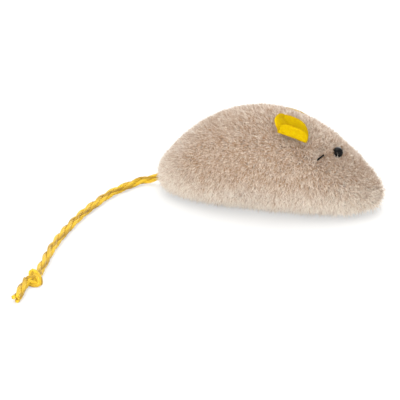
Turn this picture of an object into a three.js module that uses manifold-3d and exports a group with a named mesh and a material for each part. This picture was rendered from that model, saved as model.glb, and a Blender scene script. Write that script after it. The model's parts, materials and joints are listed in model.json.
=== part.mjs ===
// A stuffed catnip mouse: a plush skin of two side panels and a belly panel, stuffing with a
// catnip sachet, folded felt ears, bead eyes and a knotted cord tail that lies on the floor.
// Millimetres, +X from the rump to the nose, +Y to the mouse's left, +Z up from the floor.
import * as THREE from 'three';
import { mergeVertices } from 'three/addons/utils/BufferGeometryUtils.js';
import Module from 'manifold-3d';

const wasm = await Module();
wasm.setup();

// Body form, measured over the tips of the pile
const bodyLength = 115;
const bodyWidth = 54;
const bodyHeight = 48;
const tipHeight = 12.9;
const floorCut = 0.5;
const backPower = { rump: 0.92, nose: 1.02 };
const planPower = { rump: 0.5, nose: 0.6 };
const bellyPower = { rump: 6, nose: 5.5 };
const roundness = { upper: 2.1, lower: 2.8 };
const widestShare = 0.38;
const stations = 26;
const ringPoints = 30;

// Plush, seams and fits
const plushThickness = 4.5;
const seamHeight = 5.2;
const seamGap = 0.3;
const fitGap = 0.3;
const threadRadius = 0.4;
const threadSides = 6;
const threadSteps = 18;
const threadEndShare = 0.09;
const turningGapShare = 0.36;
const turningGapSpace = 0.02;

// Ears, each a rounded square of felt folded across near its middle
const earStation = { right: 0.627, left: 0.575 };
const earTurn = { right: 31.8, left: 64 };
const earRadius = 8.25;
const earSquareness = 3;
const earSkew = 0.3;
const earGather = 0.2;
const earGatherReach = 5;
const earFoldOffset = 2.8;
const earFoldRadius = 1.6;
const earEndHeight = 0.7;
const feltThickness = 1.2;
const earBackLean = { right: 2, left: 0 };
const earOpening = 44;
const earDroop = 0.15;
const earSections = 14;
const earStripPoints = 16;
const earTackLength = 11;

// Eyes and the thread that pulls them in
const eyeStation = 0.811;
const eyeTurn = { right: 20.7, left: 49 };
const eyeRadius = 2.6;
const eyeSink = 1.2;
const eyeThreadRadius = 0.4;
const threadTailStation = 0.74;
const threadTailTurn = 47;
const threadTailLength = 4;
const threadTailRise = 0.7;

// Catnip sachet on the belly
const sachetRadius = 17;
const sachetRim = 3;
const sachetHalfHeight = 6;
const sachetSheet = 0.6;
const sachetX = -4;
const latheSegments = 24;
const domeSteps = 6;

// Tail cord
const tailRadius = 2.1;
const tailSides = 10;
const tailSteps = 40;
const tailDrop = 1.2;
const floorRest = 0.1;
const anchorDepth = 14;
const anchorHeight = 12.5;
const anchorRadius = 3.6;
const anchorSteps = 8;
const knotLead = 2.8;
const knotTurnRadius = 2.3;
const knotCordRadius = 1.9;
const knotTilt = 38;
const knotEndSteps = 8;

// Route of the tail from its pivot at the rump: x and y offsets, and the share of the pivot's rise
const tailRoute = [
  [0, 0, 1],
  [-3.4, -0.2, 0.4],
  [-6.8, -1.2, 0.1],
  [-9.3, -4.2, 0],
  [-11.4, -8.0, 0],
  [-14.0, -12.6, 0],
  [-16.4, -17.6, 0],
  [-18.2, -23.4, 0],
  [-19.5, -30.2, 0],
  [-20.8, -36.8, 0],
  [-21.8, -43.6, 0],
  [-22.4, -50.2, 0],
  [-22.7, -57.0, 0],
  [-22.8, -64.0, 0],
  [-22.7, -71.4, 0],
  [-22.2, -78.6, 0],
  [-21.3, -86.4, 0],
  [-19.9, -94.6, 0],
  [-18.3, -104.4, 0],
];
const tailEndRoute = [
  [-20.3, -113.2, 0],
  [-19.7, -118.1, 0],
  [-18.9, -123.2, 0],
  [-18.1, -128.9, 0],
];

const finishes = {
  plush: new THREE.MeshStandardMaterial({ color: 0xbfa58f, roughness: 0.95, metalness: 0 }),
  stuffing: new THREE.MeshStandardMaterial({ color: 0xf2f0ea, roughness: 1, metalness: 0 }),
  thread: new THREE.MeshStandardMaterial({ color: 0xb49c86, roughness: 0.8, metalness: 0 }),
  blackThread: new THREE.MeshStandardMaterial({ color: 0x16130f, roughness: 0.7, metalness: 0 }),
  felt: new THREE.MeshStandardMaterial({ color: 0xe8c018, roughness: 0.95, metalness: 0 }),
  yellowThread: new THREE.MeshStandardMaterial({ color: 0xd9ac12, roughness: 0.8, metalness: 0 }),
  bead: new THREE.MeshStandardMaterial({ color: 0x0c0a09, roughness: 0.12, metalness: 0 }),
  sachet: new THREE.MeshStandardMaterial({ color: 0xe9e6dc, roughness: 0.9, metalness: 0 }),
  herb: new THREE.MeshStandardMaterial({ color: 0x6f7a4a, roughness: 1, metalness: 0 }),
  cord: new THREE.MeshStandardMaterial({ color: 0xe3ba44, roughness: 0.85, metalness: 0 }),
};

const mouse = new THREE.Group();
const far = 2 * (bodyLength + bodyWidth + bodyHeight);

// Closed solids and what is cut from them

function solid(geometry) {
  const plain = geometry.clone();
  plain.deleteAttribute('normal');
  plain.deleteAttribute('uv');
  const merged = mergeVertices(plain, 1e-4);
  return new wasm.Manifold(new wasm.Mesh({
    numProp: 3,
    vertProperties: new Float32Array(merged.attributes.position.array),
    triVerts: new Uint32Array(merged.index.array),
  }));
}

function geometryOf(manifold) {
  const mesh = manifold.getMesh();
  const geometry = new THREE.BufferGeometry();
  geometry.setAttribute('position', new THREE.BufferAttribute(mesh.vertProperties, mesh.numProp));
  geometry.setIndex(new THREE.BufferAttribute(mesh.triVerts, 1));
  geometry.computeVertexNormals();
  return geometry;
}

function cut(manifold, tools) {
  return tools.reduce((rest, tool) => rest.subtract(tool), manifold);
}

function add(name, geometry, finish) {
  const mesh = new THREE.Mesh(geometry, finish);
  mesh.name = name;
  mouse.add(mesh);
  return mesh;
}

function block(low, high) {
  const size = high.clone().sub(low);
  const box = new THREE.BoxGeometry(size.x, size.y, size.z);
  return solid(box.translate(...low.clone().addScaledVector(size, 0.5)));
}

// Rings of equal count, each turning from its first axis to its second about the way they follow
function loft(rings, startPole, endPole) {
  const count = rings[0].length;
  const points = [startPole, ...rings.flat(), endPole];
  const last = points.length - 1;
  const triangles = [];
  for (let j = 0; j < count; j += 1) {
    const next = (j + 1) % count;
    triangles.push(0, 1 + next, 1 + j);
    for (let i = 0; i + 1 < rings.length; i += 1) {
      const near = 1 + i * count;
      const ahead = near + count;
      triangles.push(near + j, near + next, ahead + next);
      triangles.push(near + j, ahead + next, ahead + j);
    }
    triangles.push(last, last - count + j, last - count + next);
  }
  const geometry = new THREE.BufferGeometry().setFromPoints(points);
  geometry.setIndex(triangles);
  geometry.computeVertexNormals();
  return geometry;
}

function tube(points, radius, sides, steps) {
  const corners = Array.from({ length: sides }, (_, k) => {
    const angle = (2 * Math.PI * k) / sides;
    return new THREE.Vector2(radius * Math.cos(angle), radius * Math.sin(angle));
  });
  return new THREE.ExtrudeGeometry(new THREE.Shape(corners), {
    steps,
    extrudePath: new THREE.CatmullRomCurve3(points, false, 'centripetal'),
    bevelEnabled: false,
  });
}

// The swelling, tapering body, which an inset shrinks evenly on all sides

function swell(share, power) {
  const peak = power.rump / (power.rump + power.nose);
  return (share / peak) ** power.rump * ((1 - share) / (1 - peak)) ** power.nose;
}

function sectionAt(share, inset) {
  const power = share < 0.5 ? bellyPower.rump : bellyPower.nose;
  const fall = (1 - Math.abs(2 * share - 1) ** power) ** (1 / power);
  const top = tipHeight + (bodyHeight - inset - tipHeight) * swell(share, backPower);
  const bottom = tipHeight - (tipHeight + floorCut - inset) * fall;
  return {
    x: (share - 0.5) * (bodyLength - 2 * inset),
    half: (bodyWidth / 2 - inset) * swell(share, planPower),
    top,
    bottom,
    widest: bottom + widestShare * (top - bottom),
  };
}

function signedPower(value, power) {
  return Math.sign(value) * Math.abs(value) ** power;
}

// A point on the form: the angle runs from the left flank over the back to the right flank
function formPoint(share, angle, inset = 0) {
  const section = sectionAt(share, inset);
  const sine = Math.sin(angle);
  const power = 2 / (sine > 0 ? roundness.upper : roundness.lower);
  const reach = sine > 0 ? section.top - section.widest : section.widest - section.bottom;
  return new THREE.Vector3(
    section.x,
    section.half * signedPower(Math.cos(angle), power),
    section.widest + reach * signedPower(sine, power),
  );
}

function form(inset) {
  const rings = [];
  for (let i = 1; i < stations; i += 1) {
    const share = (1 - Math.cos((Math.PI * i) / stations)) / 2;
    rings.push(Array.from({ length: ringPoints }, (_, j) => (
      formPoint(share, (2 * Math.PI * j) / ringPoints, inset)
    )));
  }
  const end = bodyLength / 2 - inset;
  return solid(loft(rings, new THREE.Vector3(-end, 0, tipHeight), new THREE.Vector3(end, 0, tipHeight)));
}

// A right-handed frame on the plush: x along the body, y up the slope, z outwards
function plushFrame(share, turn, side) {
  const angle = Math.PI / 2 + side * THREE.MathUtils.degToRad(turn);
  const step = 1e-3;
  const point = formPoint(share, angle);
  const along = formPoint(share + step, angle).sub(formPoint(share - step, angle)).normalize();
  const rise = formPoint(share, angle - side * step).sub(formPoint(share, angle + side * step));
  const x = along.multiplyScalar(side);
  const y = rise.addScaledVector(x, -rise.dot(x)).normalize();
  const z = x.clone().cross(y);
  return { point, x, y, z };
}

const sides = { right: 1, left: -1 };

// Tail, from its anchor in the stuffing to its pivot at the seam

function rumpExit() {
  const fall = (tipHeight - seamHeight) / (tipHeight + floorCut);
  const share = (1 - (1 - fall ** bellyPower.rump) ** (1 / bellyPower.rump)) / 2;
  return new THREE.Vector3(sectionAt(share, 0).x, 0, seamHeight);
}

const exit = rumpExit();
const pivot = new THREE.Vector3(exit.x - tailRadius - fitGap, 0, seamHeight - tailDrop);
const restHeight = tailRadius + floorRest;

function onRoute([x, y, riseShare]) {
  return new THREE.Vector3(pivot.x + x, pivot.y + y, restHeight + riseShare * (pivot.z - restHeight));
}

const anchorCentre = new THREE.Vector3(exit.x + anchorDepth, 0, anchorHeight);
const anchorRoute = [
  anchorCentre,
  new THREE.Vector3(exit.x + anchorDepth / 2, 0, (anchorHeight + seamHeight) / 2 - tailDrop),
  new THREE.Vector3(exit.x + tailRadius, 0, seamHeight),
  exit,
];

function anchorShape(clearance) {
  const ball = new THREE.SphereGeometry(anchorRadius + clearance, 16, 12);
  const route = clearance > 0
    ? [...anchorRoute, new THREE.Vector3(exit.x - tailRadius, 0, seamHeight)]
    : anchorRoute;
  const stub = tube(route, tailRadius + clearance, tailSides, anchorSteps);
  return solid(ball.translate(...anchorCentre)).add(solid(stub));
}

// Eyes: sunk beads, the thread between them and its cut end

function eyeCentre(side) {
  const name = side === sides.right ? 'right' : 'left';
  const seat = plushFrame(eyeStation, eyeTurn[name], side);
  return seat.point.addScaledVector(seat.z, -eyeSink);
}

function bead(side, clearance) {
  const ball = new THREE.SphereGeometry(eyeRadius + clearance, 20, 14);
  return ball.translate(...eyeCentre(side));
}

function eyeThread(clearance) {
  const inset = clearance > 0 ? 0 : eyeRadius + fitGap;
  const ends = [eyeCentre(sides.right), eyeCentre(sides.left)];
  const way = ends[1].clone().sub(ends[0]).normalize();
  const route = [
    ends[0].clone().addScaledVector(way, inset),
    ends[1].clone().addScaledVector(way, -inset),
  ];
  return tube(route, eyeThreadRadius + clearance, threadSides, 1);
}

function threadTail(clearance) {
  const seat = plushFrame(threadTailStation, threadTailTurn, sides.right);
  const root = seat.point.clone().addScaledVector(seat.z, -plushThickness - clearance);
  const bend = seat.point.clone().addScaledVector(seat.z, threadTailRise);
  const way = eyeCentre(sides.right).sub(seat.point);
  way.addScaledVector(seat.z, -way.dot(seat.z)).normalize();
  const tip = bend.clone().addScaledVector(way, threadTailLength).addScaledVector(seat.z, -threadTailRise / 2);
  const route = clearance > 0 ? [root, bend] : [root, seat.point, bend, tip];
  return tube(route, eyeThreadRadius + clearance, threadSides, clearance > 0 ? 1 : 10);
}

// Seam threads, which lie on the stuffing just inside the seams

function backSeamRoute() {
  const inset = plushThickness + fitGap + threadRadius;
  return Array.from({ length: threadSteps + 1 }, (_, k) => {
    const share = threadEndShare + ((1 - 2 * threadEndShare) * k) / threadSteps;
    return formPoint(share, Math.PI / 2, inset);
  });
}

function bellySeamRoute(side, from, to) {
  const inset = plushThickness + fitGap + threadRadius;
  const height = seamHeight + threadRadius;
  return Array.from({ length: threadSteps + 1 }, (_, k) => {
    const section = sectionAt(from + ((to - from) * k) / threadSteps, inset);
    const drop = (section.widest - height) / (section.widest - section.bottom);
    const sine = drop ** (roundness.lower / 2);
    const reach = Math.sqrt(1 - sine * sine) ** (2 / roundness.lower);
    return new THREE.Vector3(section.x, -side * section.half * reach, height);
  });
}

const seamRoutes = {
  back_seam_thread: backSeamRoute(),
  right_belly_seam_thread: bellySeamRoute(sides.right, threadEndShare, 1 - threadEndShare),
  left_belly_seam_thread: bellySeamRoute(sides.left, turningGapShare, 1 - threadEndShare),
  closing_thread: bellySeamRoute(sides.left, threadEndShare, turningGapShare - turningGapSpace),
};

// Catnip sachet: two domed sheets joined at a flat rim, with the herb between them

const sachetFloor = plushThickness - floorCut + fitGap;
const sachetMiddle = sachetFloor + sachetHalfHeight;

function dome(radius, height) {
  return Array.from({ length: domeSteps + 1 }, (_, k) => {
    const angle = (Math.PI * k) / (2 * domeSteps);
    return new THREE.Vector2(radius * Math.cos(angle), height * Math.sin(angle));
  });
}

function sachetSheetGeometry() {
  const pouch = sachetRadius - sachetRim;
  const base = seamGap / 2;
  const outer = dome(pouch, sachetHalfHeight - sachetSheet - base).map((p) => p.setY(p.y + base + sachetSheet));
  const inner = dome(pouch - sachetSheet, sachetHalfHeight - sachetSheet - base).map((p) => p.setY(p.y + base));
  const profile = [
    ...inner.reverse(),
    new THREE.Vector2(sachetRadius, base),
    new THREE.Vector2(sachetRadius, base + sachetSheet),
    ...outer,
  ];
  return new THREE.LatheGeometry(profile, latheSegments);
}

function herbGeometry() {
  const radius = sachetRadius - sachetRim - sachetSheet - fitGap;
  const height = sachetHalfHeight - sachetSheet - fitGap;
  const upper = dome(radius, height);
  const lower = dome(radius, height).slice(1).map((p) => p.setY(-p.y)).reverse();
  return new THREE.LatheGeometry([...lower, ...upper], latheSegments);
}

function sachetPocket() {
  const radius = sachetRadius + fitGap;
  const height = sachetHalfHeight + fitGap;
  const profile = [new THREE.Vector2(0, -far / 2), new THREE.Vector2(radius, -far / 2), ...dome(radius, height)];
  return solid(new THREE.LatheGeometry(profile, latheSegments).rotateX(Math.PI / 2)
    .translate(sachetX, 0, sachetMiddle));
}

// Ear, about the middle of its fold: at each section a strip of felt, gathered by its tacking at the
// fold, and taller behind than in front, where it leans towards the rump

function earHalf(along) {
  return earRadius * (1 - (Math.abs(along) / earRadius) ** earSquareness) ** (1 / earSquareness);
}

function earSag(along) {
  return -earDroop * (along / earRadius) ** 2;
}

function earPoint(along, walk, off, side) {
  const wall = THREE.MathUtils.degToRad(90 - earOpening / 2);
  const turn = THREE.MathUtils.clamp(walk / earFoldRadius, -wall, wall);
  const beyond = walk - turn * earFoldRadius;
  const arm = earFoldRadius - off;
  const gather = earGather * Math.max(1 - (walk / earGatherReach) ** 2, 0) ** 2;
  return new THREE.Vector3(
    along * (1 - gather) + side * earSkew * Math.min(beyond, 0),
    -arm * Math.sin(turn) - beyond * Math.cos(turn),
    beyond * Math.sin(turn) - arm * Math.cos(turn) + earSag(along),
  );
}

function earGeometry(side) {
  const reach = earHalf(earFoldOffset + earEndHeight);
  const rings = Array.from({ length: earSections + 1 }, (_, i) => {
    const along = -reach * Math.cos((Math.PI * i) / earSections);
    const chord = earHalf(along);
    const walks = Array.from({ length: earStripPoints + 1 }, (_, k) => (
      -chord - earFoldOffset + (2 * chord * k) / earStripPoints
    ));
    const inside = walks.map((walk) => earPoint(along, walk, feltThickness / 2, side));
    const outside = walks.map((walk) => earPoint(along, walk, -feltThickness / 2, side)).reverse();
    return [...inside, ...outside];
  });
  const middle = (ring) => {
    const bottom = Math.floor(earStripPoints * 0.6);
    return ring[bottom].clone().add(ring[ring.length - 1 - bottom]).multiplyScalar(0.5);
  };
  return loft(rings, middle(rings[0]), middle(rings[rings.length - 1]));
}

function placeEar(mesh, name) {
  const seat = plushFrame(earStation[name], earTurn[name], sides[name]);
  const basis = new THREE.Matrix4().makeBasis(seat.x, seat.y, seat.z);
  const tilt = THREE.MathUtils.degToRad(earBackLean[name] + earOpening / 2 - 90);
  mesh.quaternion.setFromRotationMatrix(basis);
  mesh.rotateX(tilt);
  mesh.position.copy(seat.point).addScaledVector(seat.z, earFoldRadius + feltThickness / 2 + fitGap);
}

function earTackGeometry() {
  const height = feltThickness / 2 + fitGap + threadRadius - earFoldRadius;
  const route = [-1, 0, 1].map((end) => {
    const along = (end * earTackLength) / 2;
    return new THREE.Vector3(along, 0, height + earSag(along));
  });
  return tube(route, threadRadius, threadSides, 6);
}

// Overhand knot: the cord runs on through two crossed turns of itself

function knotGeometry(entry, entryWay, leave, leaveWay) {
  const way = leave.clone().sub(entry);
  const core = tube([
    entry,
    entry.clone().addScaledVector(entryWay, knotLead),
    leave.clone().addScaledVector(leaveWay, -knotLead),
    leave,
  ], knotCordRadius, tailSides, 4);
  const turns = [knotTilt, -knotTilt].map((tilt) => {
    const ring = new THREE.TorusGeometry(knotTurnRadius, knotCordRadius, tailSides, 20);
    const across = new THREE.Vector3(-way.y, way.x, 0).normalize();
    const facing = way.clone().normalize().applyAxisAngle(across, THREE.MathUtils.degToRad(tilt));
    ring.applyQuaternion(new THREE.Quaternion().setFromUnitVectors(new THREE.Vector3(0, 0, 1), facing));
    return solid(ring.translate(...entry.clone().addScaledVector(way, 0.5)));
  });
  const lump = turns.reduce((whole, turn) => whole.add(turn), solid(core));
  const floor = block(new THREE.Vector3(-far, -far, 0), new THREE.Vector3(far, far, far));
  return geometryOf(lump.intersect(floor));
}

// Plush skin

const outer = form(0).intersect(block(new THREE.Vector3(-far, -far, 0), new THREE.Vector3(far, far, far)));
const skin = outer.subtract(form(plushThickness));
const tailWay = anchorShape(fitGap);
const threadWay = solid(eyeThread(fitGap));
const threadEndWay = solid(threadTail(fitGap));

function sidePanel(side) {
  const low = new THREE.Vector3(-far, side > 0 ? -far : seamGap / 2, seamHeight + seamGap / 2);
  const high = new THREE.Vector3(far, side > 0 ? -seamGap / 2 : far, far);
  const cuts = [tailWay, threadWay, solid(bead(side, fitGap))];
  if (side === sides.right) cuts.push(threadEndWay);
  return geometryOf(cut(skin.intersect(block(low, high)), cuts));
}

function bellyPanel() {
  const high = new THREE.Vector3(far, far, seamHeight - seamGap / 2);
  return geometryOf(cut(skin.intersect(block(new THREE.Vector3(-far, -far, -far), high)), [tailWay]));
}

function stuffing() {
  const grooves = Object.values(seamRoutes).map((route) => (
    solid(tube(route, threadRadius + fitGap, threadSides, threadSteps))
  ));
  const tools = [sachetPocket(), tailWay, threadWay, threadEndWay, ...grooves];
  return geometryOf(cut(form(plushThickness + fitGap), tools));
}

add('right_side_panel', sidePanel(sides.right), finishes.plush);
add('left_side_panel', sidePanel(sides.left), finishes.plush);
add('belly_panel', bellyPanel(), finishes.plush);
add('stuffing', stuffing(), finishes.stuffing);
for (const [name, route] of Object.entries(seamRoutes)) {
  add(name, tube(route, threadRadius, threadSides, threadSteps), finishes.thread);
}

add('sachet_upper_sheet', sachetSheetGeometry(), finishes.sachet).rotation.x = Math.PI / 2;
add('sachet_lower_sheet', sachetSheetGeometry(), finishes.sachet).rotation.x = -Math.PI / 2;
add('dried_catnip', herbGeometry(), finishes.herb).rotation.x = Math.PI / 2;
for (const name of ['sachet_upper_sheet', 'sachet_lower_sheet', 'dried_catnip']) {
  mouse.getObjectByName(name).position.set(sachetX, 0, sachetMiddle);
}

for (const [name, side] of Object.entries(sides)) {
  for (const mesh of [
    add(`${name}_ear`, earGeometry(side), finishes.felt),
    add(`${name}_ear_tack`, earTackGeometry(), finishes.yellowThread),
  ]) {
    placeEar(mesh, name);
  }
  add(`${name}_eye_bead`, bead(side, 0), finishes.bead);
}
add('eye_thread', eyeThread(0), finishes.blackThread);
add('eye_thread_end', threadTail(0), finishes.blackThread);

// Tail cord, laid on the floor

const cordPoints = tailRoute.map(onRoute);
const endPoints = tailEndRoute.map(onRoute);
const firstStep = cordPoints[1].clone().sub(cordPoints[0]).normalize();
cordPoints[0].addScaledVector(firstStep, tailRadius + fitGap);
const entryWay = cordPoints.at(-1).clone().sub(cordPoints.at(-2)).normalize();
const leaveWay = endPoints[1].clone().sub(endPoints[0]).normalize();
const knotEntry = cordPoints.at(-1).clone().addScaledVector(entryWay, fitGap);
const knotLeave = endPoints[0].clone().addScaledVector(leaveWay, -fitGap);

add('tail_anchor', geometryOf(anchorShape(0)), finishes.cord);
add('tail_root', new THREE.SphereGeometry(tailRadius, 16, 12).translate(...pivot), finishes.cord);
add('tail_cord', tube(cordPoints, tailRadius, tailSides, tailSteps), finishes.cord);
add('tail_knot', knotGeometry(knotEntry, entryWay, knotLeave, leaveWay), finishes.cord);
add('tail_end', tube(endPoints, tailRadius, tailSides, knotEndSteps), finishes.cord);

export default mouse;
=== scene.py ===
"""Looks of a plush catnip mouse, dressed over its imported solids. Metres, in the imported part's frame."""

from __future__ import annotations

import json
import logging
import math
from dataclasses import dataclass, field
from enum import Enum
from functools import partial
from typing import Any, Sequence

import bpy
import numpy as np
from mathutils import Matrix, Vector, noise
from mathutils.kdtree import KDTree

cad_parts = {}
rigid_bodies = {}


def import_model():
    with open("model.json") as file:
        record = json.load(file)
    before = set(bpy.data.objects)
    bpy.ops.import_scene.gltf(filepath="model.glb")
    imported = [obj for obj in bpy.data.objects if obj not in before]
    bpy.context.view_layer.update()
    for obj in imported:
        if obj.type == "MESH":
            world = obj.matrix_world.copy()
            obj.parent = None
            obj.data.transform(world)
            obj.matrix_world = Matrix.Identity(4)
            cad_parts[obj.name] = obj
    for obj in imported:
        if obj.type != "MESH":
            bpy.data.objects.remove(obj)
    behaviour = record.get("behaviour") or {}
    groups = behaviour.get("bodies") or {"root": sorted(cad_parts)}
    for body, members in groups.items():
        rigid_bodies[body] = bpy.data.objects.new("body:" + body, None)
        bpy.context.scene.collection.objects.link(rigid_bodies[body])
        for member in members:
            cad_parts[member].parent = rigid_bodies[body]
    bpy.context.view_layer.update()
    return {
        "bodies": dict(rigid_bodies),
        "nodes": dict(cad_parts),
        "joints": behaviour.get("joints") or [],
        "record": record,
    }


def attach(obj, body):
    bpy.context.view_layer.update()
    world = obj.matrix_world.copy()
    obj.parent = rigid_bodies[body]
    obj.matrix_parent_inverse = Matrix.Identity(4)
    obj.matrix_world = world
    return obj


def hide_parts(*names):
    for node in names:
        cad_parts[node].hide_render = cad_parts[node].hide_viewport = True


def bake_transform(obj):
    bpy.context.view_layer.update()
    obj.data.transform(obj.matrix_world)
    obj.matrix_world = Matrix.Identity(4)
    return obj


LOG = logging.getLogger("mouse")
MM = 0.001
TURN = 2 * math.pi
TINY = 1e-9
LAY_MAP = "OFBake"

# Blender's names for the nodes that the trees use most
MATH = "ShaderNodeMath"
VECTOR_MATH = "ShaderNodeVectorMath"
MIX = "ShaderNodeMix"
MAP_RANGE = "ShaderNodeMapRange"
SEPARATE = "ShaderNodeSeparateXYZ"
COMBINE = "ShaderNodeCombineXYZ"
RANDOM = "FunctionNodeRandomValue"
ATTRIBUTE = "GeometryNodeInputNamedAttribute"
STORE = "GeometryNodeStoreNamedAttribute"


class Side(Enum):
    """A side of the mouse, with the sign that the body's angle turns by."""

    RIGHT = 1
    LEFT = -1


class Panel(Enum):
    """A panel of the plush skin."""

    RIGHT = "right_side"
    LEFT = "left_side"
    BELLY = "belly"


def linear(code: str) -> tuple[float, float, float, float]:
    """Turn an sRGB hex colour to linear.

    Args:
        code: Six hex digits after a hash sign.

    Returns:
        Linear red, green, blue and an alpha of 1.
    """
    parts = [int(code[i:i + 2], 16) / 255 for i in (1, 3, 5)]
    return (*(c / 12.92 if c <= 0.04045 else ((c + 0.055) / 1.055) ** 2.4 for c in parts), 1.0)


def ramp(value: np.ndarray, start: float, end: float) -> np.ndarray:
    """Rise evenly from 0 at the start to 1 at the end, which may lie below the start."""
    return np.clip((value - start) / (end - start), 0, 1)


def add_node(
    tree: bpy.types.NodeTree, kind: str, inputs: dict[Any, Any] | None = None,
    out: str | None = None, **settings: Any,
) -> bpy.types.NodeSocket:
    """Add a node with its settings and links.

    Args:
        tree: The tree that takes the node.
        kind: Blender's name for the node's type.
        inputs: Socket name or index to a value, or to the output that is linked to it.
        out: The name of the wanted output, or None for the first.
        settings: Properties of the node.

    Returns:
        The wanted output, or the first input of a node that has no output.
    """
    node = tree.nodes.new(kind)
    for name, value in settings.items():
        setattr(node, name, value)
    for key, value in (inputs or {}).items():
        if isinstance(key, int):
            socket = node.inputs[key]
        else:
            socket = next(s for s in node.inputs if s.name == key and s.enabled)
        if isinstance(value, bpy.types.NodeSocket):
            tree.links.new(value, socket)
        else:
            socket.default_value = value
    if not node.outputs:
        return node.inputs[0]
    return next(s for s in node.outputs if s.enabled and out in (None, s.name))


def new_object(name: str, mesh: bpy.types.Mesh) -> bpy.types.Object:
    """Put a mesh in the scene as an object at the origin.

    Args:
        name: The object's name.
        mesh: Its mesh.

    Returns:
        The object.
    """
    piece = bpy.data.objects.new(name, mesh)
    bpy.context.scene.collection.objects.link(piece)
    return piece


def grid_mesh(
    name: str, points: np.ndarray, closed_across: bool = False, flip: bool = False,
) -> bpy.types.Mesh:
    """Make a mesh of quads from rows of points, with points that coincide made one.

    Args:
        name: The mesh's name.
        points: Rows by columns by 3.
        closed_across: Whether the last column joins the first.
        flip: Whether the faces turn the other way.

    Returns:
        The mesh, smooth shaded.
    """
    rows, columns = points.shape[:2]
    unique, index = np.unique(
        np.round(points.reshape(-1, 3), 8), axis=0, return_inverse=True,
    )
    index = index.reshape(rows, columns)
    faces: list[list[int]] = []
    for i in range(rows - 1):
        for j in range(columns if closed_across else columns - 1):
            k = (j + 1) % columns
            corners = [index[i, j], index[i, k], index[i + 1, k], index[i + 1, j]]
            face = [int(c) for n, c in enumerate(corners) if c != corners[n - 1]]
            if len(set(face)) >= 3:
                faces.append(face[::-1] if flip else face)
    mesh = bpy.data.meshes.new(name)
    mesh.from_pydata(unique.tolist(), [], faces)
    mesh.shade_smooth()
    return mesh


def store_values(mesh: bpy.types.Mesh, name: str, values: np.ndarray) -> None:
    """Store a number or a vector for each vertex.

    Args:
        mesh: The mesh.
        name: The attribute's name.
        values: One number, or three, for each vertex.
    """
    kind, key = ("FLOAT_VECTOR", "vector") if values.ndim == 2 else ("FLOAT", "value")
    layer = mesh.attributes.new(name, kind, "POINT")
    layer.data.foreach_set(key, values.astype(np.float32).ravel())


def smooth_route(
    points: Sequence[Sequence[float]], step: float, span_steps: int = 24,
) -> np.ndarray:
    """Run a centripetal curve through points.

    Args:
        points: The points that the curve goes through.
        step: The distance between the points of the result.
        span_steps: Steps between two given points, before the result is spaced evenly.

    Returns:
        Evenly spaced points.
    """
    given = np.array(points, float)
    pads = np.vstack([2 * given[0] - given[1], given, 2 * given[-1] - given[-2]])
    fine: list[np.ndarray] = []
    for k in range(1, len(pads) - 2):
        p0, p1, p2, p3 = pads[k - 1:k + 3]
        t1 = max(np.linalg.norm(p1 - p0), TINY) ** 0.5
        t2 = t1 + max(np.linalg.norm(p2 - p1), TINY) ** 0.5
        t3 = t2 + max(np.linalg.norm(p3 - p2), TINY) ** 0.5
        for t in np.linspace(t1, t2, span_steps, endpoint=False):
            a1 = (t1 - t) / t1 * p0 + t / t1 * p1
            a2 = (t2 - t) / (t2 - t1) * p1 + (t - t1) / (t2 - t1) * p2
            a3 = (t3 - t) / (t3 - t2) * p2 + (t - t2) / (t3 - t2) * p3
            b1 = (t2 - t) / t2 * a1 + t / t2 * a2
            b2 = (t3 - t) / (t3 - t1) * a2 + (t - t1) / (t3 - t1) * a3
            fine.append((t2 - t) / (t2 - t1) * b1 + (t - t1) / (t2 - t1) * b2)
    fine.append(given[-1])
    line = np.array(fine)
    run = np.concatenate([[0], np.cumsum(np.linalg.norm(np.diff(line, axis=0), axis=1))])
    even = np.linspace(0, run[-1], max(2, round(run[-1] / step) + 1))
    return np.stack([np.interp(even, run, line[:, k]) for k in range(3)], axis=1)


def route_length(points: np.ndarray) -> float:
    """Measure a route along its points."""
    return float(np.linalg.norm(np.diff(points, axis=0), axis=1).sum())


# Finishes


@dataclass(frozen=True)
class Finish:
    """A finish with one constant roughness and sheen; the kinds below give its colour and bump."""

    name: str
    dark: str
    light: str
    roughness: float = 0.9
    sheen: float = 0.2
    ior: float = 1.5
    specular: float = 0.5
    sheen_roughness: float = 0.5

    def shader(self) -> tuple[bpy.types.Material, bpy.types.NodeTree, bpy.types.ShaderNode]:
        """Start the material.

        Returns:
            The material, its tree and its main shader.
        """
        material = bpy.data.materials.new(self.name)
        material.use_nodes = True
        tree = material.node_tree
        tree.nodes.clear()
        surface = add_node(tree, "ShaderNodeBsdfPrincipled", {
            "Roughness": self.roughness, "IOR": self.ior, "Specular IOR Level": self.specular,
            "Sheen Weight": self.sheen, "Sheen Roughness": self.sheen_roughness,
        })
        add_node(tree, "ShaderNodeOutputMaterial", {"Surface": surface})
        return material, tree, surface.node

    def build(self) -> bpy.types.Material:
        """Make the material."""
        raise NotImplementedError


@dataclass(frozen=True)
class LaidFinish(Finish):
    """Fibre or yarn: the lay map gives each fibre's shade across and its root to tip along."""

    root: str = "#000000"
    root_share: float = 0.5

    def build(self) -> bpy.types.Material:
        """Make the material from the fibre's own map.

        Returns:
            The material.
        """
        material, tree, surface = self.shader()
        add = partial(add_node, tree)
        lay = add("ShaderNodeUVMap", uv_map=LAY_MAP)
        across = add(SEPARATE, {0: lay}, out="X")
        along = across.node.outputs["Y"]
        tone = add(MIX, {
            "Factor": across, "A": linear(self.dark), "B": linear(self.light),
        }, data_type="RGBA")
        rise = add(MAP_RANGE, {"Value": along, "From Max": self.root_share})
        colour = add(MIX, {"Factor": rise, "A": linear(self.root), "B": tone}, data_type="RGBA")
        tree.links.new(colour, surface.inputs["Base Color"])
        return material


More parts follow.
